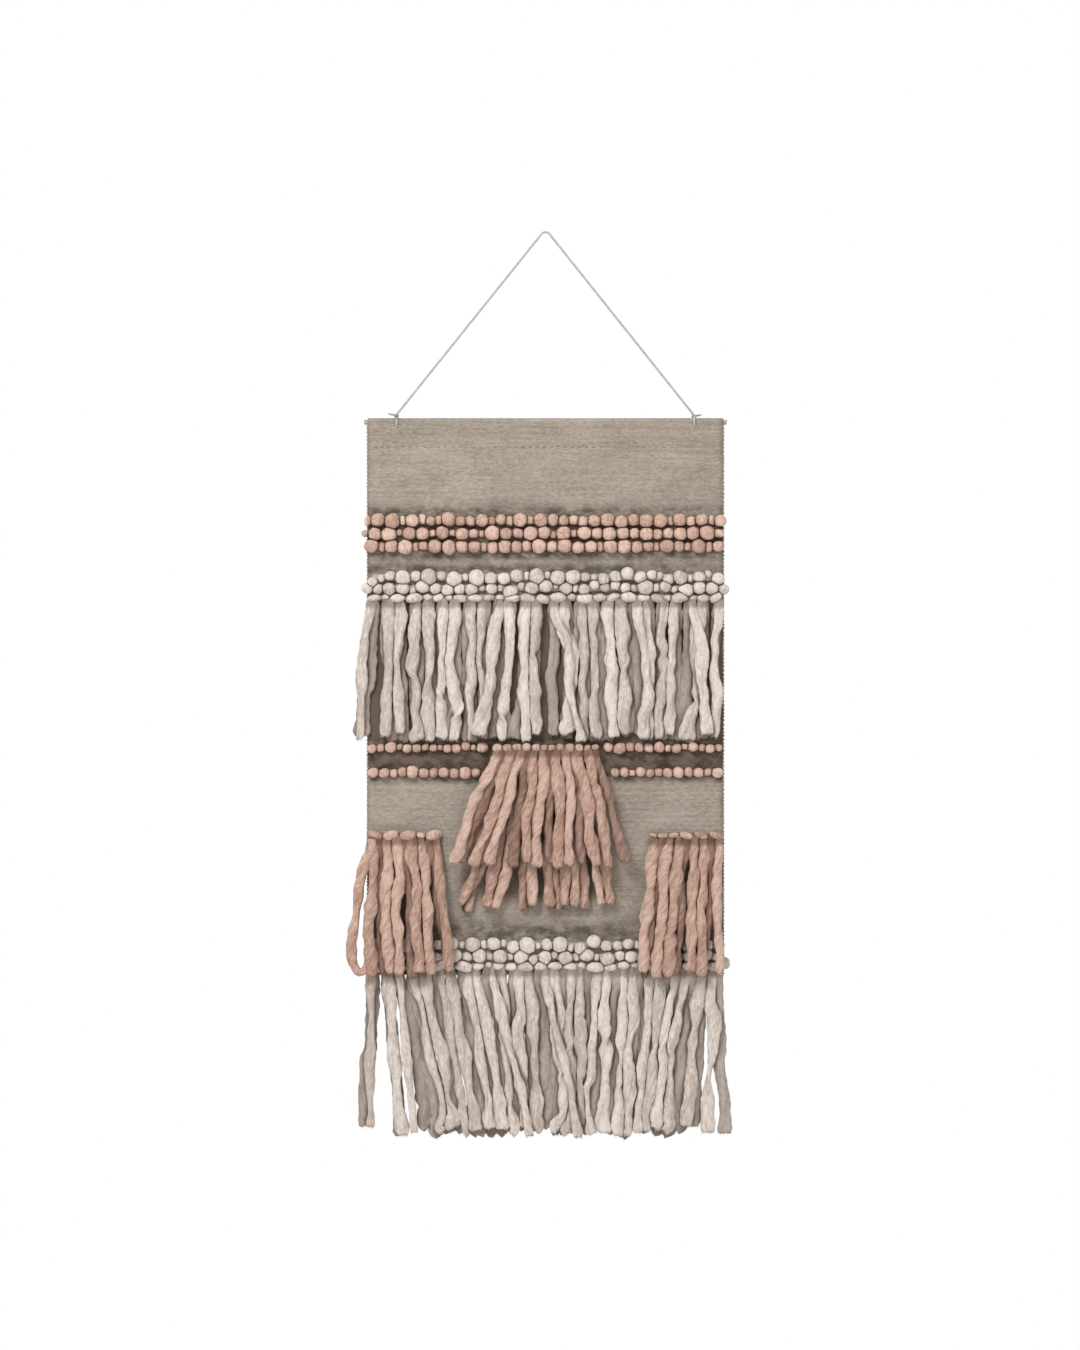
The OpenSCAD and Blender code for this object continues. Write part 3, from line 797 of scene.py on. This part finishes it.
def pressed_ball(rng, centre, radius, others, other_radii, crease):
    """One loop of yarn, lumpy and creased, and flattened where it meets the loops beside it."""
    direction = BALL
    lump = np.ones(len(direction))
    # painted shade on the side turned to the cloth
    crown = smoothstep((0.6 - direction[:, 1]) / 0.8)
    for _ in range(5):
        axis = normalised(rng.normal(0, 1, 3))
        lump += 0.03 * np.sin(rng.uniform(1.5, 4.5) * direction @ axis + rng.uniform(0, 6.28))
    if crease:
        axis = normalised(np.array([rng.normal(0, 0.5), rng.normal(0, 0.3), 1.0]))
        line = direction @ axis - rng.uniform(-0.4, 0.4) - 0.12 * np.sin(3 * direction[:, 0])
        groove = np.exp(-((line / 0.08) ** 2))
        lump -= 0.11 * groove
        # painted shade in the crease
        crown = crown * (1 - 0.5 * groove)
    # a slightly squarer section than an ellipsoid's
    size = (np.abs(direction) ** SQUARENESS).sum(axis=1, keepdims=True) ** (1 / SQUARENESS)
    tilt = rng.normal(0, 0.22)
    c, s = math.cos(tilt), math.sin(tilt)
    turn = np.array([[c, 0, s], [0, 1, 0], [-s, 0, c]])
    offset = (direction / size * lump[:, None] * radius) @ turn
    for other, other_radius in zip(others, other_radii):
        between = other - centre
        span = np.linalg.norm(between)
        toward = between / span
        mine = np.linalg.norm(radius * toward)
        theirs = np.linalg.norm(other_radius * toward)
        if span > mine + theirs + 3 * SOFT:
            continue
        limit = min(span * mine / (mine + theirs), mine * 1.02) - PRESS_GAP
        depth = offset @ toward
        # painted shade where the loop presses on its neighbour
        crown = crown * (1 - 0.75 * smoothstep((depth - limit + 1.5 * SOFT) / (1.7 * SOFT)))
        over = depth - (limit - SOFT)
        pressed = limit - SOFT + SOFT * np.tanh(np.maximum(over, 0) / SOFT)
        offset += np.where(over > 0, pressed - depth, 0)[:, None] * toward
    points = centre + offset
    # flat against the cloth, and never through it
    points[:, 1] = np.minimum(points[:, 1], FACE + 0.6 * MM)
    wrap = np.arctan2(direction[:, 2], -direction[:, 1])
    grain = np.stack([offset[:, 0], offset[:, 1] * 0.3, wrap * radius[2]], axis=-1)
    return points, grain + rng.uniform(-1, 1, 3), crown


def add_running_yarn(mesh, rng, x_from, x_to, z, half_h):
    """The flattened yarn seen between the loops, in their shade."""
    n = 90
    x = np.linspace(x_from, x_to, n)
    wavy = z + 0.4 * MM * np.sin(x * 300)
    path = np.stack([x, np.full(n, FACE - 1.2 * MM), wavy], axis=-1)
    add_roving(
        mesh, path, np.full(n, half_h), np.full(n, 2.2 * MM), np.zeros(n), rng, RUNNING_SHADE,
        sides=14, shade=lambda rings: np.full(rings.shape[:2], RUNNING_SHADE), cut_end=False,
    )


def build_band(rows, material, seed):
    """rows is a list of (node, centres, radii). Loops press on all the others of the band."""
    rng = np.random.default_rng(seed)
    centres = np.concatenate([row[1] for row in rows])
    radii = np.concatenate([row[2] for row in rows])
    i = 0
    for node, row_centres, row_radii in rows:
        mesh = Mesh()
        for _ in row_centres:
            near = np.linalg.norm(centres - centres[i], axis=1) < NEIGHBOURS
            near[i] = False
            points, grain, crown = pressed_ball(
                rng, centres[i], radii[i], centres[near], radii[near], rng.random() < 0.4
            )
            tone = rng.uniform(0, 1)
            mesh.add(points, tris=BALL_FACES, grain=grain, tone=tone, crown=crown)
            i += 1
        for x_from, x_to in row_spans(row_centres):
            half_h = row_radii[:, 2].min() * 0.8
            add_running_yarn(mesh, rng, x_from, x_to, row_centres[:, 2].mean(), half_h)
        stand_for(mesh.build(node + "_loops", material), "panel", node)


def row_spans(centres):
    """Stretches of a row with no break in them."""
    x = np.sort(centres[:, 0])
    breaks = np.flatnonzero(np.diff(x) > ROW_BREAK)
    starts = np.concatenate([[0], breaks + 1])
    ends = np.concatenate([breaks, [len(x) - 1]])
    return [(x[a], x[b]) for a, b in zip(starts, ends)]


def node_row(node):
    """(x from, x to, z) of a row's node."""
    low, high = box(node)
    return low[0], high[0], (low[2] + high[2]) / 2


def add_band(rows, material, seed, loop_seed):
    """rows is a list of (node, its layout)."""
    rng = np.random.default_rng(seed)
    laid = []
    for node, row in rows:
        x_from, x_to, z = node_row(node)
        left, right = EDGE_REACH.get(node, (0, 0))
        centres, radii = layout_row(rng, x_from - left * MM, x_to + right * MM, z, row)
        laid.append((node, centres, radii))
    build_band(laid, material, loop_seed)


def add_broken_rows(material):
    rng = np.random.default_rng(131)
    for node, inner in BREAKS.items():
        x_from, x_to, z = node_row(node)
        spans = ((x_from, -inner), (inner, x_to))
        halves = [layout_row(rng, a, b, z, BROKEN_ROW) for a, b in spans]
        centres, radii = (np.concatenate(parts) for parts in zip(*halves))
        build_band([(node, centres, radii)], material, 301)


def add_tassel_knots(node, row, material, seed):
    rng = np.random.default_rng(seed)
    x_from, x_to, z = node_row(node)
    left, right = TASSEL_REACH
    centres, radii = layout_row(rng, x_from - left * MM, x_to + right * MM, z, row)
    # the knots reach as far forward as the strands that hang from them
    centres[:, 1] = box(node)[0][1] + radii[:, 1]
    build_band([(node, centres, radii)], material, seed + 1)


# ---------------------------------------------------------------- strands

# How far a strand's top reaches up into its knot
ROOT = 9 * MM
FRAYS = 12
LEVELS = 80
SEPARATING_ROUNDS = 60
RIDGE_TWIST = 8.0
PLY = 0.05
CREAM_DEPTH = 4.2 * MM
BLUSH_DEPTH = 4.9 * MM
# Layers of a fringe: in front, behind, and laid over the front
FRONT, BEHIND, OVER = 0, 1, 2


def add_roving(
    mesh, path, half_w, half_d, roll, rng, tone, twist=RIDGE_TWIST, ply=PLY, sides=22,
    shade=None, cut_end=True,
):
    """Soft flattened yarn. roll turns its section, and twist runs its ridges round it."""
    s = arc_length(path)
    side, facing = path_frames(path, (0, -1, 0))
    across = np.cos(roll)[:, None] * side + np.sin(roll)[:, None] * facing
    forward = np.cos(roll)[:, None] * facing - np.sin(roll)[:, None] * side
    angle = np.linspace(0, TAU, sides, endpoint=False)
    turned = angle[None, :] + twist * s[:, None]
    phase = rng.uniform(0, TAU, 4)
    lobes = (
        1
        + ply * np.cos(2 * turned + phase[0])
        + 0.06 * np.cos(3 * turned + phase[1] + 60 * s[:, None])
        + 0.045 * np.cos(4 * turned + phase[2] - 390 * s[:, None])
        + 0.035 * np.cos(6 * turned + phase[3] + 240 * s[:, None])
    )
    u = (half_w[:, None] * np.cos(angle) * lobes)[..., None] * across[:, None, :]
    v = (half_d[:, None] * np.sin(angle) * lobes)[..., None] * forward[:, None, :]
    rings = path[:, None, :] + u + v
    # a strand lies against the cloth, and never goes through it
    rings[..., 1] = np.minimum(rings[..., 1], FACE - 0.1 * MM)
    down = normalised(path[-1] - path[-3])
    if cut_end:
        # a ragged rim, and a sunken ring inside it
        rings[-1] += rng.uniform(-1.6, 1.6, sides)[:, None] * MM * down
        middle = rings[-1].mean(axis=0)
        sunk = (rng.uniform(-1.2, 0.3, sides) * MM)[:, None] * down
        rings = np.concatenate([rings, (middle + (rings[-1] - middle) * 0.55 + sunk)[None]])
        s = np.append(s, s[-1])
        turned = np.vstack([turned, turned[-1:]])
        half_w = np.append(half_w, half_w[-1] * 0.55)
    crown = np.ones(rings.shape[:2]) if shade is None else shade(rings)
    # painted shade in the furrows between plies and folds
    crown = crown * (1 - 7 * ply * np.clip(-np.cos(2 * turned + phase[0]) - 0.6, 0, 1))
    folds = np.clip(-np.cos(3 * turned + phase[1] + 60 * s[:, None]) - 0.7, 0, 1)
    crown = crown * (1 - 1.1 * folds)
    shift = rng.uniform(-1, 1, 3)
    grain = yarn_grain(half_w[:, None], turned, s) + shift
    crown = np.concatenate([crown.ravel(), [crown[0].mean(), crown[-1].mean()]])
    mesh.add(*lofted(rings), grain, tone, crown)
    if cut_end:
        add_frays(mesh, rng, rings[-2], down, tone, shift)


def add_frays(mesh, rng, rim, down, tone, shift):
    """A few loose fibres at a cut end."""
    middle = rim.mean(axis=0)
    tris = [(0, 2, 1), (0, 1, 3), (1, 2, 3), (2, 0, 3)]
    for _ in range(FRAYS):
        k = rng.integers(len(rim))
        root = middle + (rim[k] - middle) * rng.uniform(0.3, 0.9) - down * 1.5 * MM
        aim = normalised(down + rng.normal(0, 0.28, 3) + 0.35 * normalised(rim[k] - middle))
        tip = root + aim * rng.uniform(2.5, 6.5) * MM
        flat = normalised(np.cross(aim, rng.normal(0, 1, 3)))
        other = np.cross(aim, flat)
        width = rng.uniform(0.25, 0.6) * MM
        turns = (0.0, 2.1, 4.2)
        base = [root + width * (math.cos(a) * flat + math.sin(a) * other) for a in turns]
        points = np.array([*base, tip])
        mesh.add(points, tris=tris, grain=points + shift, tone=tone)


class Fringe:
    """Strands under one row of knots, as paths and widths on a shared set of levels."""

    def __init__(self, seed, x, y, z, length):
        self.rng = np.random.default_rng(seed)
        self.n = len(x)
        self.top = z
        self.t = np.linspace(0, 1, LEVELS)
        self.s = self.t[None, :] * (np.ones(self.n) * length)[:, None]
        self.x = np.repeat(np.array(x, float)[:, None], LEVELS, axis=1)
        self.y = np.full((self.n, LEVELS), y, float)
        self.layer = np.zeros(self.n, int)
        self.roll = np.zeros((self.n, LEVELS))
        # how uneven a strand is, against the others, and how light the painted shade leaves the
        # strands behind
        self.steady = np.ones(self.n)
        self.deep = 0.42

    def phases(self):
        return self.rng.uniform(0, TAU, (self.n, 1))

    def vary(self, low, high):
        """A random number for each strand."""
        return self.rng.uniform(low, high, (self.n, 1))

    def from_top(self, share):
        """0 at the knots, growing to 1 over a share of the length."""
        return smoothstep(self.t / share)[None, :]

    def unevenness(self, run):
        """Random values along strands, changing over each run, and nothing at the knots."""
        count = int(self.s.max() / run) + 2
        values = self.rng.normal(0, 1, (self.n, count))
        places = np.arange(count)
        along = np.array([np.interp(s / run, places, row) for s, row in zip(self.s, values)])
        return along * smoothstep((self.s - ROOT) / (12 * MM))

    def pinches(self, most, depth):
        """Short narrow places, up to so many a strand, where the yarn was gripped or turned."""
        shape = np.ones_like(self.s)
        for i in range(self.n):
            for _ in range(self.rng.integers(0, most + 1)):
                place = self.rng.uniform(0.2, 0.92) * self.s[i, -1]
                run = self.rng.uniform(9, 18) * MM
                narrow = depth * self.rng.uniform(0.6, 1.2) * self.steady[i]
                shape[i] *= 1 - narrow * np.exp(-(((self.s[i] - place) / run) ** 2))
        return shape

    def wave(self, amplitude, wavelength):
        """A slow sideways wander that is nothing at the knots."""
        phase = self.phases()
        stretch = self.vary(0.75, 1.3)
        size = self.rng.normal(1, 0.35, (self.n, 1)) * amplitude * self.steady[:, None]
        swing = np.sin(TAU * self.s / (wavelength * stretch) + phase) - np.sin(phase)
        self.x += size * self.from_top(0.3) * swing

    def lean(self, slopes):
        """Each strand drifts sideways by its slope, starting gently under the knot."""
        self.x += np.asarray(slopes)[:, None] * self.s * self.from_top(0.25)

    def kink(self, share, size):
        """A share of the strands step aside at some place, as yarn that was wound up does."""
        for i in range(self.n):
            if self.rng.random() < share:
                place = self.rng.uniform(0.25, 0.85) * self.s[i, -1]
                run = self.rng.uniform(5, 12) * MM
                step = np.tanh((self.s[i] - place) / run)
                side = self.rng.choice([-1, 1])
                self.x[i] += side * size * self.rng.uniform(0.5, 1) * (step - step[0])

    def turn_over(self, share, sway):
        """Strands rock a little, and a share of them turn right over, which narrows them.

        Those behind have no room to turn.
        """
        rock = np.sin(TAU * self.s / (95 * MM) + self.phases())
        room = np.where(self.layer == BEHIND, 0.5, 1.0)[:, None]
        self.roll = sway * room * rock * self.from_top(0.2)
        for i in range(self.n):
            if self.rng.random() < share and self.layer[i] != BEHIND:
                place = self.rng.uniform(0.2, 0.75)
                over = smoothstep((self.t - place) / self.rng.uniform(0.16, 0.28))
                self.roll[i] += self.rng.choice([-1, 1]) * math.pi * over

    def widths(self, half_w, half_d, slub, wavelength, flare, round_end):
        """Thick and thin along the strand, narrow under the knot, and rounded at the end."""
        stretch = self.vary(0.75, 1.3)
        own = self.vary(0.84, 1.16)
        slub = slub * self.steady[:, None]
        wave = wavelength * stretch
        shape = 1 + slub * np.sin(TAU * self.s / wave + self.phases())
        wave = 0.41 * wavelength * stretch
        shape += 0.2 * slub * np.sin(TAU * self.s / wave + self.phases())
        shape += 0.045 * self.unevenness(7 * MM)
        shape *= self.pinches(2, 1.3 * slub.max())
        shape *= 0.8 + 0.2 * smoothstep(self.s / (26 * MM))
        root = 0.72 + 0.28 * smoothstep(self.s / (7 * MM))
        spread = flare + self.vary(-0.22, 0.22) - 1
        shape *= 1 + spread * smoothstep((self.t - 0.88) / 0.12)[None, :]
        left = np.clip((self.s[:, -1:] - self.s) / (6 * MM), 0, 1)
        shape *= np.sqrt(1 - (0.55 if round_end else 0.4) * (1 - left) ** 2)
        self.half_w = half_w * own * shape * root
        top = 0.45 + 0.55 * smoothstep((self.s - 0.5 * ROOT) / (14 * MM))
        self.half_d = half_d * (0.5 + 0.5 * shape) * top * self.vary(0.92, 1.08)
        self.x += 0.45 * MM * self.unevenness(13 * MM)
        if not round_end:
            self.half_d *= 1 - 0.3 * smoothstep((self.t - 0.9) / 0.1)[None, :]

    def reach(self):
        """Half of the width seen from the front."""
        return np.hypot(self.half_w * np.cos(self.roll), self.half_d * np.sin(self.roll))

    def separate(self, tight):
        """Strands of one layer are pushed apart, level by level, until they only press."""
        reach = self.reach()
        for layer in np.unique(self.layer):
            members = np.flatnonzero(self.layer == layer)
            members = members[np.argsort(self.x[members].mean(axis=1))]
            left, right = members[:-1], members[1:]
            need = tight * (0.8 if layer == BEHIND else 1.0) * (reach[right] + reach[left])
            for _ in range(SEPARATING_ROUNDS):
                gap = self.x[right] - self.x[left]
                push = np.maximum(need - gap, 0) * 0.45 * self.from_top(0.12)
                self.x[left] -= push
                self.x[right] += push
        kernel = np.array([1, 2, 3, 2, 1]) / 9
        for i in range(self.n):
            self.x[i] = np.convolve(np.pad(self.x[i], 2, mode="edge"), kernel, mode="valid")

    def shade(self, i):
        """How open a strand's points are, for painted shade: low where a neighbour stands beside or
        before them.
        """
        others = np.arange(self.n) != i
        reach = self.reach()
        deep = self.deep if self.layer[i] == BEHIND else 1.0

        def openness(rings):
            level = np.minimum(np.arange(len(rings)), len(self.t) - 1)

            def seen_from(values):
                return values[others][:, level].T[:, None, :]

            beside = np.abs(rings[:, :, 0, None] - seen_from(self.x)) - seen_from(reach)
            behind = rings[:, :, 1, None] - seen_from(self.y - self.half_d * 0.6)
            hidden = smoothstep(1 - beside / (5 * MM)) * smoothstep(behind / (7 * MM))
            # painted shade under the knots, on the strands behind, and where a neighbour hides a
            # point
            below_knots = smoothstep((self.s[i, level] - ROOT) / (7 * MM))[:, None]
            seen = deep * (0.3 + 0.7 * below_knots) * (1 - 0.93 * hidden.max(axis=-1))
            # the side turned to the wall is in nobody's shade
            rear = (rings[:, :, 1] - self.y[i, level][:, None]) / self.half_d[i, level][:, None]
            return seen + (1 - seen) * smoothstep(rear / 0.7 - 0.3)

        return openness

    def build(self, name, chosen, material, twist=RIDGE_TWIST, ply=PLY, extra=()):
        mesh = Mesh()
        for i in chosen:
            path = np.stack([self.x[i], self.y[i], self.top - self.s[i]], axis=-1)
            add_roving(
                mesh, path, self.half_w[i], self.half_d[i], self.roll[i], self.rng,
                self.rng.uniform(0, 1), twist * self.rng.uniform(0.6, 1.2), ply,
                shade=self.shade(i),
            )
        for path, half_w, half_d, roll in extra:
            add_roving(mesh, path, half_w, half_d, roll, self.rng, 0.6, twist, ply)
        return mesh.build(name, material)


def hang(piece, node):
    """Bakes the strands' place into their points and hides their node. Their tops reach up into the
    knots.
    """
    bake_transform(piece)
    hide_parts(node)
    return piece


def knot_places(knots, count):
    low, high = box(knots)
    inset = 4.6 * MM
    return np.linspace(low[0] + inset, high[0] - inset, count)


def layered_fringe(body, count, half_w, back_w, wander, slub, slopes, seed, material):
    """A cream fringe. back_w is how much wider the strands behind are than those in front."""
    y, z = hinge_of(body)
    length = z - box(body + "_front_strands")[0][2]
    rng = np.random.default_rng(seed)
    # two in three hang in front, and some of those lie over the others; each one behind is a pair
    places = knot_places(body + "_knots", count)
    in_front = places[np.arange(count) % 3 != 1]
    pairs = 2 * (count - len(in_front))
    behind = np.linspace(places[0] + 3 * MM, places[-1] - 3 * MM, pairs)
    x = np.concatenate([in_front, behind])
    count = len(x)
    lengths = length * (1 + rng.uniform(-0.06, 0.005, count))
    strewn = x + rng.normal(0, 0.8, count) * MM
    fringe = Fringe(seed + 1, strewn, y, z + ROOT, lengths + ROOT)
    fringe.layer = np.where(np.arange(count) < len(in_front), FRONT, BEHIND)
    fringe.steady = np.where(fringe.layer == BEHIND, 0.3, 1.0)
    over = [i for i in range(2, len(in_front) - 2) if i % 2 and rng.random() < 0.4]
    fringe.layer[over] = OVER
    drift = rng.normal(0, 0.025, count)
    drift[over] += rng.choice([-0.13, 0.13], len(over))
    fringe.lean(slopes(x) + drift)
    fringe.wave(wander, 150 * MM)
    fringe.wave(wander * 0.3, 55 * MM)
    fringe.kink(0.45, 4 * MM)
    own_w = np.where(fringe.layer == BEHIND, back_w, 1.0)[:, None] * half_w
    fringe.widths(own_w, CREAM_DEPTH, slub, 105 * MM, 1.15, False)
    fringe.turn_over(0.5, 0.45)
    fringe.separate(1.04)
    depth = np.choose(fringe.layer, [-5.4, 2.2, -12.5])[:, None] * MM
    ripple = np.choose(fringe.layer, [1.7, 0, 0.8])[:, None] * MM
    rippled = depth + ripple * np.sin(fringe.s / (38 * MM) + fringe.phases())
    fringe.y += fringe.from_top(0.22) * rippled
    pieces = []
    for name, is_behind in (("front", False), ("back", True)):
        chosen = np.flatnonzero((fringe.layer == BEHIND) == is_behind)
        piece = fringe.build(f"{body}_{name}_roving", chosen, material)
        pieces.append(hang(piece, f"{body}_{name}_strands"))
    return pieces


def upper_slopes(x):
    return -0.03 * np.exp(-(((x + 0.225) / 0.03) ** 2)) + 0.03 * np.sin(x * 26)


def bottom_slopes(x):
    """The left half leans in, the right half back towards it, and the outermost hang straight."""
    places = np.array([-222, -200, -170, -85, -45, 0, 40, 95, 140, 180, 210, 222]) * MM
    leans = [0.0, 0.08, 0.17, 0.17, 0.04, 0.12, 0.0, -0.08, -0.07, -0.18, -0.05, 0.0]
    return np.interp(x, places, leans)


def add_cream_fringes(material):
    upper = (39, 7.0 * MM, 1.15, 2.4 * MM, 0.20, upper_slopes, 401, material)
    bottom = (41, 6.5 * MM, 1.3, 1.4 * MM, 0.25, bottom_slopes, 431, material)
    return layered_fringe("upper_fringe", *upper) + layered_fringe("bottom_fringe", *bottom)


# The left tassel's outermost strand swings out past the cloth's edge and curls back under itself:
# how far out from the edge, and how far below the knots, in millimetres
CURLED_STRAND = [
    (-6, -5), (-5, 8), (2, 23), (9, 48), (12, 74), (14, 94), (18, 114),
    (19.5, 137), (16, 155), (9, 163), (2, 160), (-1, 150),
]


def curled_strand():
    y, z = hinge_of("left_tassel")
    points = [
        (-CLOTH_HALF - out * MM, y - (2 + 0.12 * down) * MM, z - down * MM)
        for out, down in CURLED_STRAND
    ]
    path = resampled(points, 2.6 * MM)
    t = arc_length(path) / arc_length(path)[-1]
    waist = 2.2 * np.exp(-(((t - 0.5) / 0.07) ** 2))
    half_w = (6.6 - waist - 2.0 * smoothstep((t - 0.7) / 0.3)) * MM
    half_w *= 0.75 + 0.25 * smoothstep(t / 0.15)
    roll = math.pi * smoothstep((t - 0.4) / 0.22)
    return path, half_w, np.full(len(t), 4.3 * MM), roll


def add_tassel(body, count, half_w, slopes, reach, seed, material, wander=2.0 * MM, slub=0.12,
               deep=0.45, extra=()):
    """One layer of tassel strands. reach gives how far forward they stand at each t."""
    y, z = hinge_of(body)
    node = body + "_strands"
    rng = np.random.default_rng(seed)
    x = knot_places(body + "_knots", count)
    lengths = (z - box(node)[0][2]) * (1 + rng.uniform(-0.06, 0.0, count))
    fringe = Fringe(seed + 1, x, y, z + ROOT, lengths + ROOT)
    fringe.layer = np.where(np.arange(count) % 3 == 1, BEHIND, FRONT)
    # how light the painted shade leaves the strands behind
    fringe.deep = deep
    fringe.lean(slopes(x) + rng.normal(0, 0.02, count))
    fringe.wave(wander, 120 * MM)
    fringe.kink(0.4, 2.2 * MM)
    fringe.widths(half_w, BLUSH_DEPTH, slub, 70 * MM, 1.0, True)
    fringe.turn_over(0.25, 0.4)
    fringe.separate(1.06)
    alternate = np.where(fringe.layer == BEHIND, 3.4, -2.0)[:, None] * MM
    fringe.y -= reach(fringe.t)[None, :] - alternate * fringe.from_top(0.25)
    piece = fringe.build(body + "_roving", range(count), material, 85.0, 0.07, extra)
    return hang(piece, node)


def fan(x):
    """The left strands spread further than the right ones, and the middle ones hang straight."""
    places = np.array([-62, -46, -34, -22, 0, 25, 43, 56, 62]) * MM
    return np.interp(x, places, [-0.40, -0.36, -0.28, -0.10, 0.0, 0.05, 0.13, 0.20, 0.28])


def slope_across(first, last):
    return lambda x: np.interp(x, [x.min(), x.max()], [first, last])


def over_the_band(t):
    return 21 * MM * smoothstep((t - 0.08) / 0.6)


def add_blush_tassels(material):
    side = dict(material=material, wander=1.6 * MM, slub=0.15)
    side_w = 6.7 * MM
    rightwards, leftwards = slope_across(0.01, 0.11), slope_across(-0.11, -0.02)
    curled = [curled_strand()]
    return [
        add_tassel(
            "centre_tassel_upper", 14, 7.0 * MM, fan, lambda t: 13 * MM * t, 503, material
        ),
        add_tassel(
            "centre_tassel_lower", 13, 7.0 * MM, lambda x: 0.75 * fan(x),
            lambda t: 5 * MM * t, 523, material, deep=0.8,
        ),
        add_tassel(
            "left_tassel", 9, side_w, rightwards, over_the_band, 541, extra=curled, **side
        ),
        add_tassel("right_tassel", 9, side_w, leftwards, over_the_band, 563, **side),
    ]


# ---------------------------------------------------------------- the whole

# Yarns: painted crevice shade, dark, middle and light colour, and flecks
BLUSH = (
    (0.080, 0.036, 0.021), (0.365, 0.222, 0.166), (0.526, 0.346, 0.273),
    (0.658, 0.467, 0.386), (0.32, 0.202, 0.15),
)
CREAM = (
    (0.150, 0.112, 0.085), (0.49, 0.410, 0.355), (0.650, 0.558, 0.495),
    (0.770, 0.690, 0.630), (0.40, 0.335, 0.28),
)
BLUSH_LOOPS = (
    (0.160, 0.080, 0.050), (0.46, 0.288, 0.220), (0.610, 0.408, 0.328),
    (0.740, 0.535, 0.448), (0.40, 0.255, 0.19),
)
CREAM_LOOPS = (
    (0.360, 0.300, 0.250), (0.50, 0.425, 0.370), (0.680, 0.590, 0.530),
    (0.790, 0.715, 0.660), (0.42, 0.355, 0.30),
)
# Twisted yarns: dark and light colour, and the painted shade in the groove between plies
CORD_YARN = ((0.38, 0.355, 0.33), (0.60, 0.57, 0.535), (0.20, 0.18, 0.165))
# the knots take a darker copy of the cord's yarn, as painted shade
SHADED_KNOT_YARN = ((0.22, 0.205, 0.19), (0.40, 0.38, 0.355), (0.10, 0.09, 0.082))
EDGE_YARN = ((0.31, 0.265, 0.22), (0.47, 0.41, 0.35), (0.13, 0.105, 0.08))
HEM_THREAD = ((0.30, 0.255, 0.21), (0.37, 0.32, 0.27), (0.26, 0.22, 0.18))

add_camera()
# the knots' yarn is the cord's yarn made darker, as painted shade
add_cord(twisted_material("cord_yarn", *CORD_YARN), twisted_material("cord_knot_yarn", *SHADED_KNOT_YARN))
add_studio()

blush = wool_material("blush_roving", *BLUSH)
cream = wool_material("cream_roving", *CREAM)
blush_loops = wool_material("blush_loop_wool", *BLUSH_LOOPS)
cream_loops = wool_material("cream_loop_wool", *CREAM_LOOPS)
edge_yarn = twisted_material("selvedge_yarn", *EDGE_YARN)

dowel = frame["nodes"]["dowel"]
dowel.data.materials.clear()
dowel.data.materials.append(wood_material())

cloth = add_ground_cloth(cloth_material())
add_selvedge("left_selvedge", -1, edge_yarn)
add_selvedge("right_selvedge", 1, edge_yarn)
stitches = add_hem_stitching(twisted_material("hem_thread_spun", *HEM_THREAD))

blush_rows = zip((1, 2, 3), (BLUSH_ROW, BLUSH_SMALL_ROW, BLUSH_ROW))
blush_band = [(f"blush_loop_row_{k}", row) for k, row in blush_rows]
add_band(blush_band, blush_loops, 101, 201)
for first, knots, seed in ((1, "upper_fringe_knots", 151), (3, "bottom_fringe_knots", 171)):
    cream_band = [(f"cream_loop_row_{k}", CREAM_ROW) for k in (first, first + 1)]
    add_band([*cream_band, (knots, CREAM_KNOTS)], cream_loops, seed, seed + 1)
add_broken_rows(blush_loops)
add_tassel_knots("left_tassel_knots", SIDE_KNOTS, blush, 211)
add_tassel_knots("right_tassel_knots", SIDE_KNOTS._replace(tall=0.5), blush, 223)
add_tassel_knots("centre_tassel_upper_knots", CENTRE_KNOTS, blush, 233)
lower_knots = CENTRE_KNOTS._replace(sizes=(12, 11, 9), tall=0.75)
add_tassel_knots("centre_tassel_lower_knots", lower_knots, blush, 241)
fringes = add_cream_fringes(cream) + add_blush_tassels(blush)
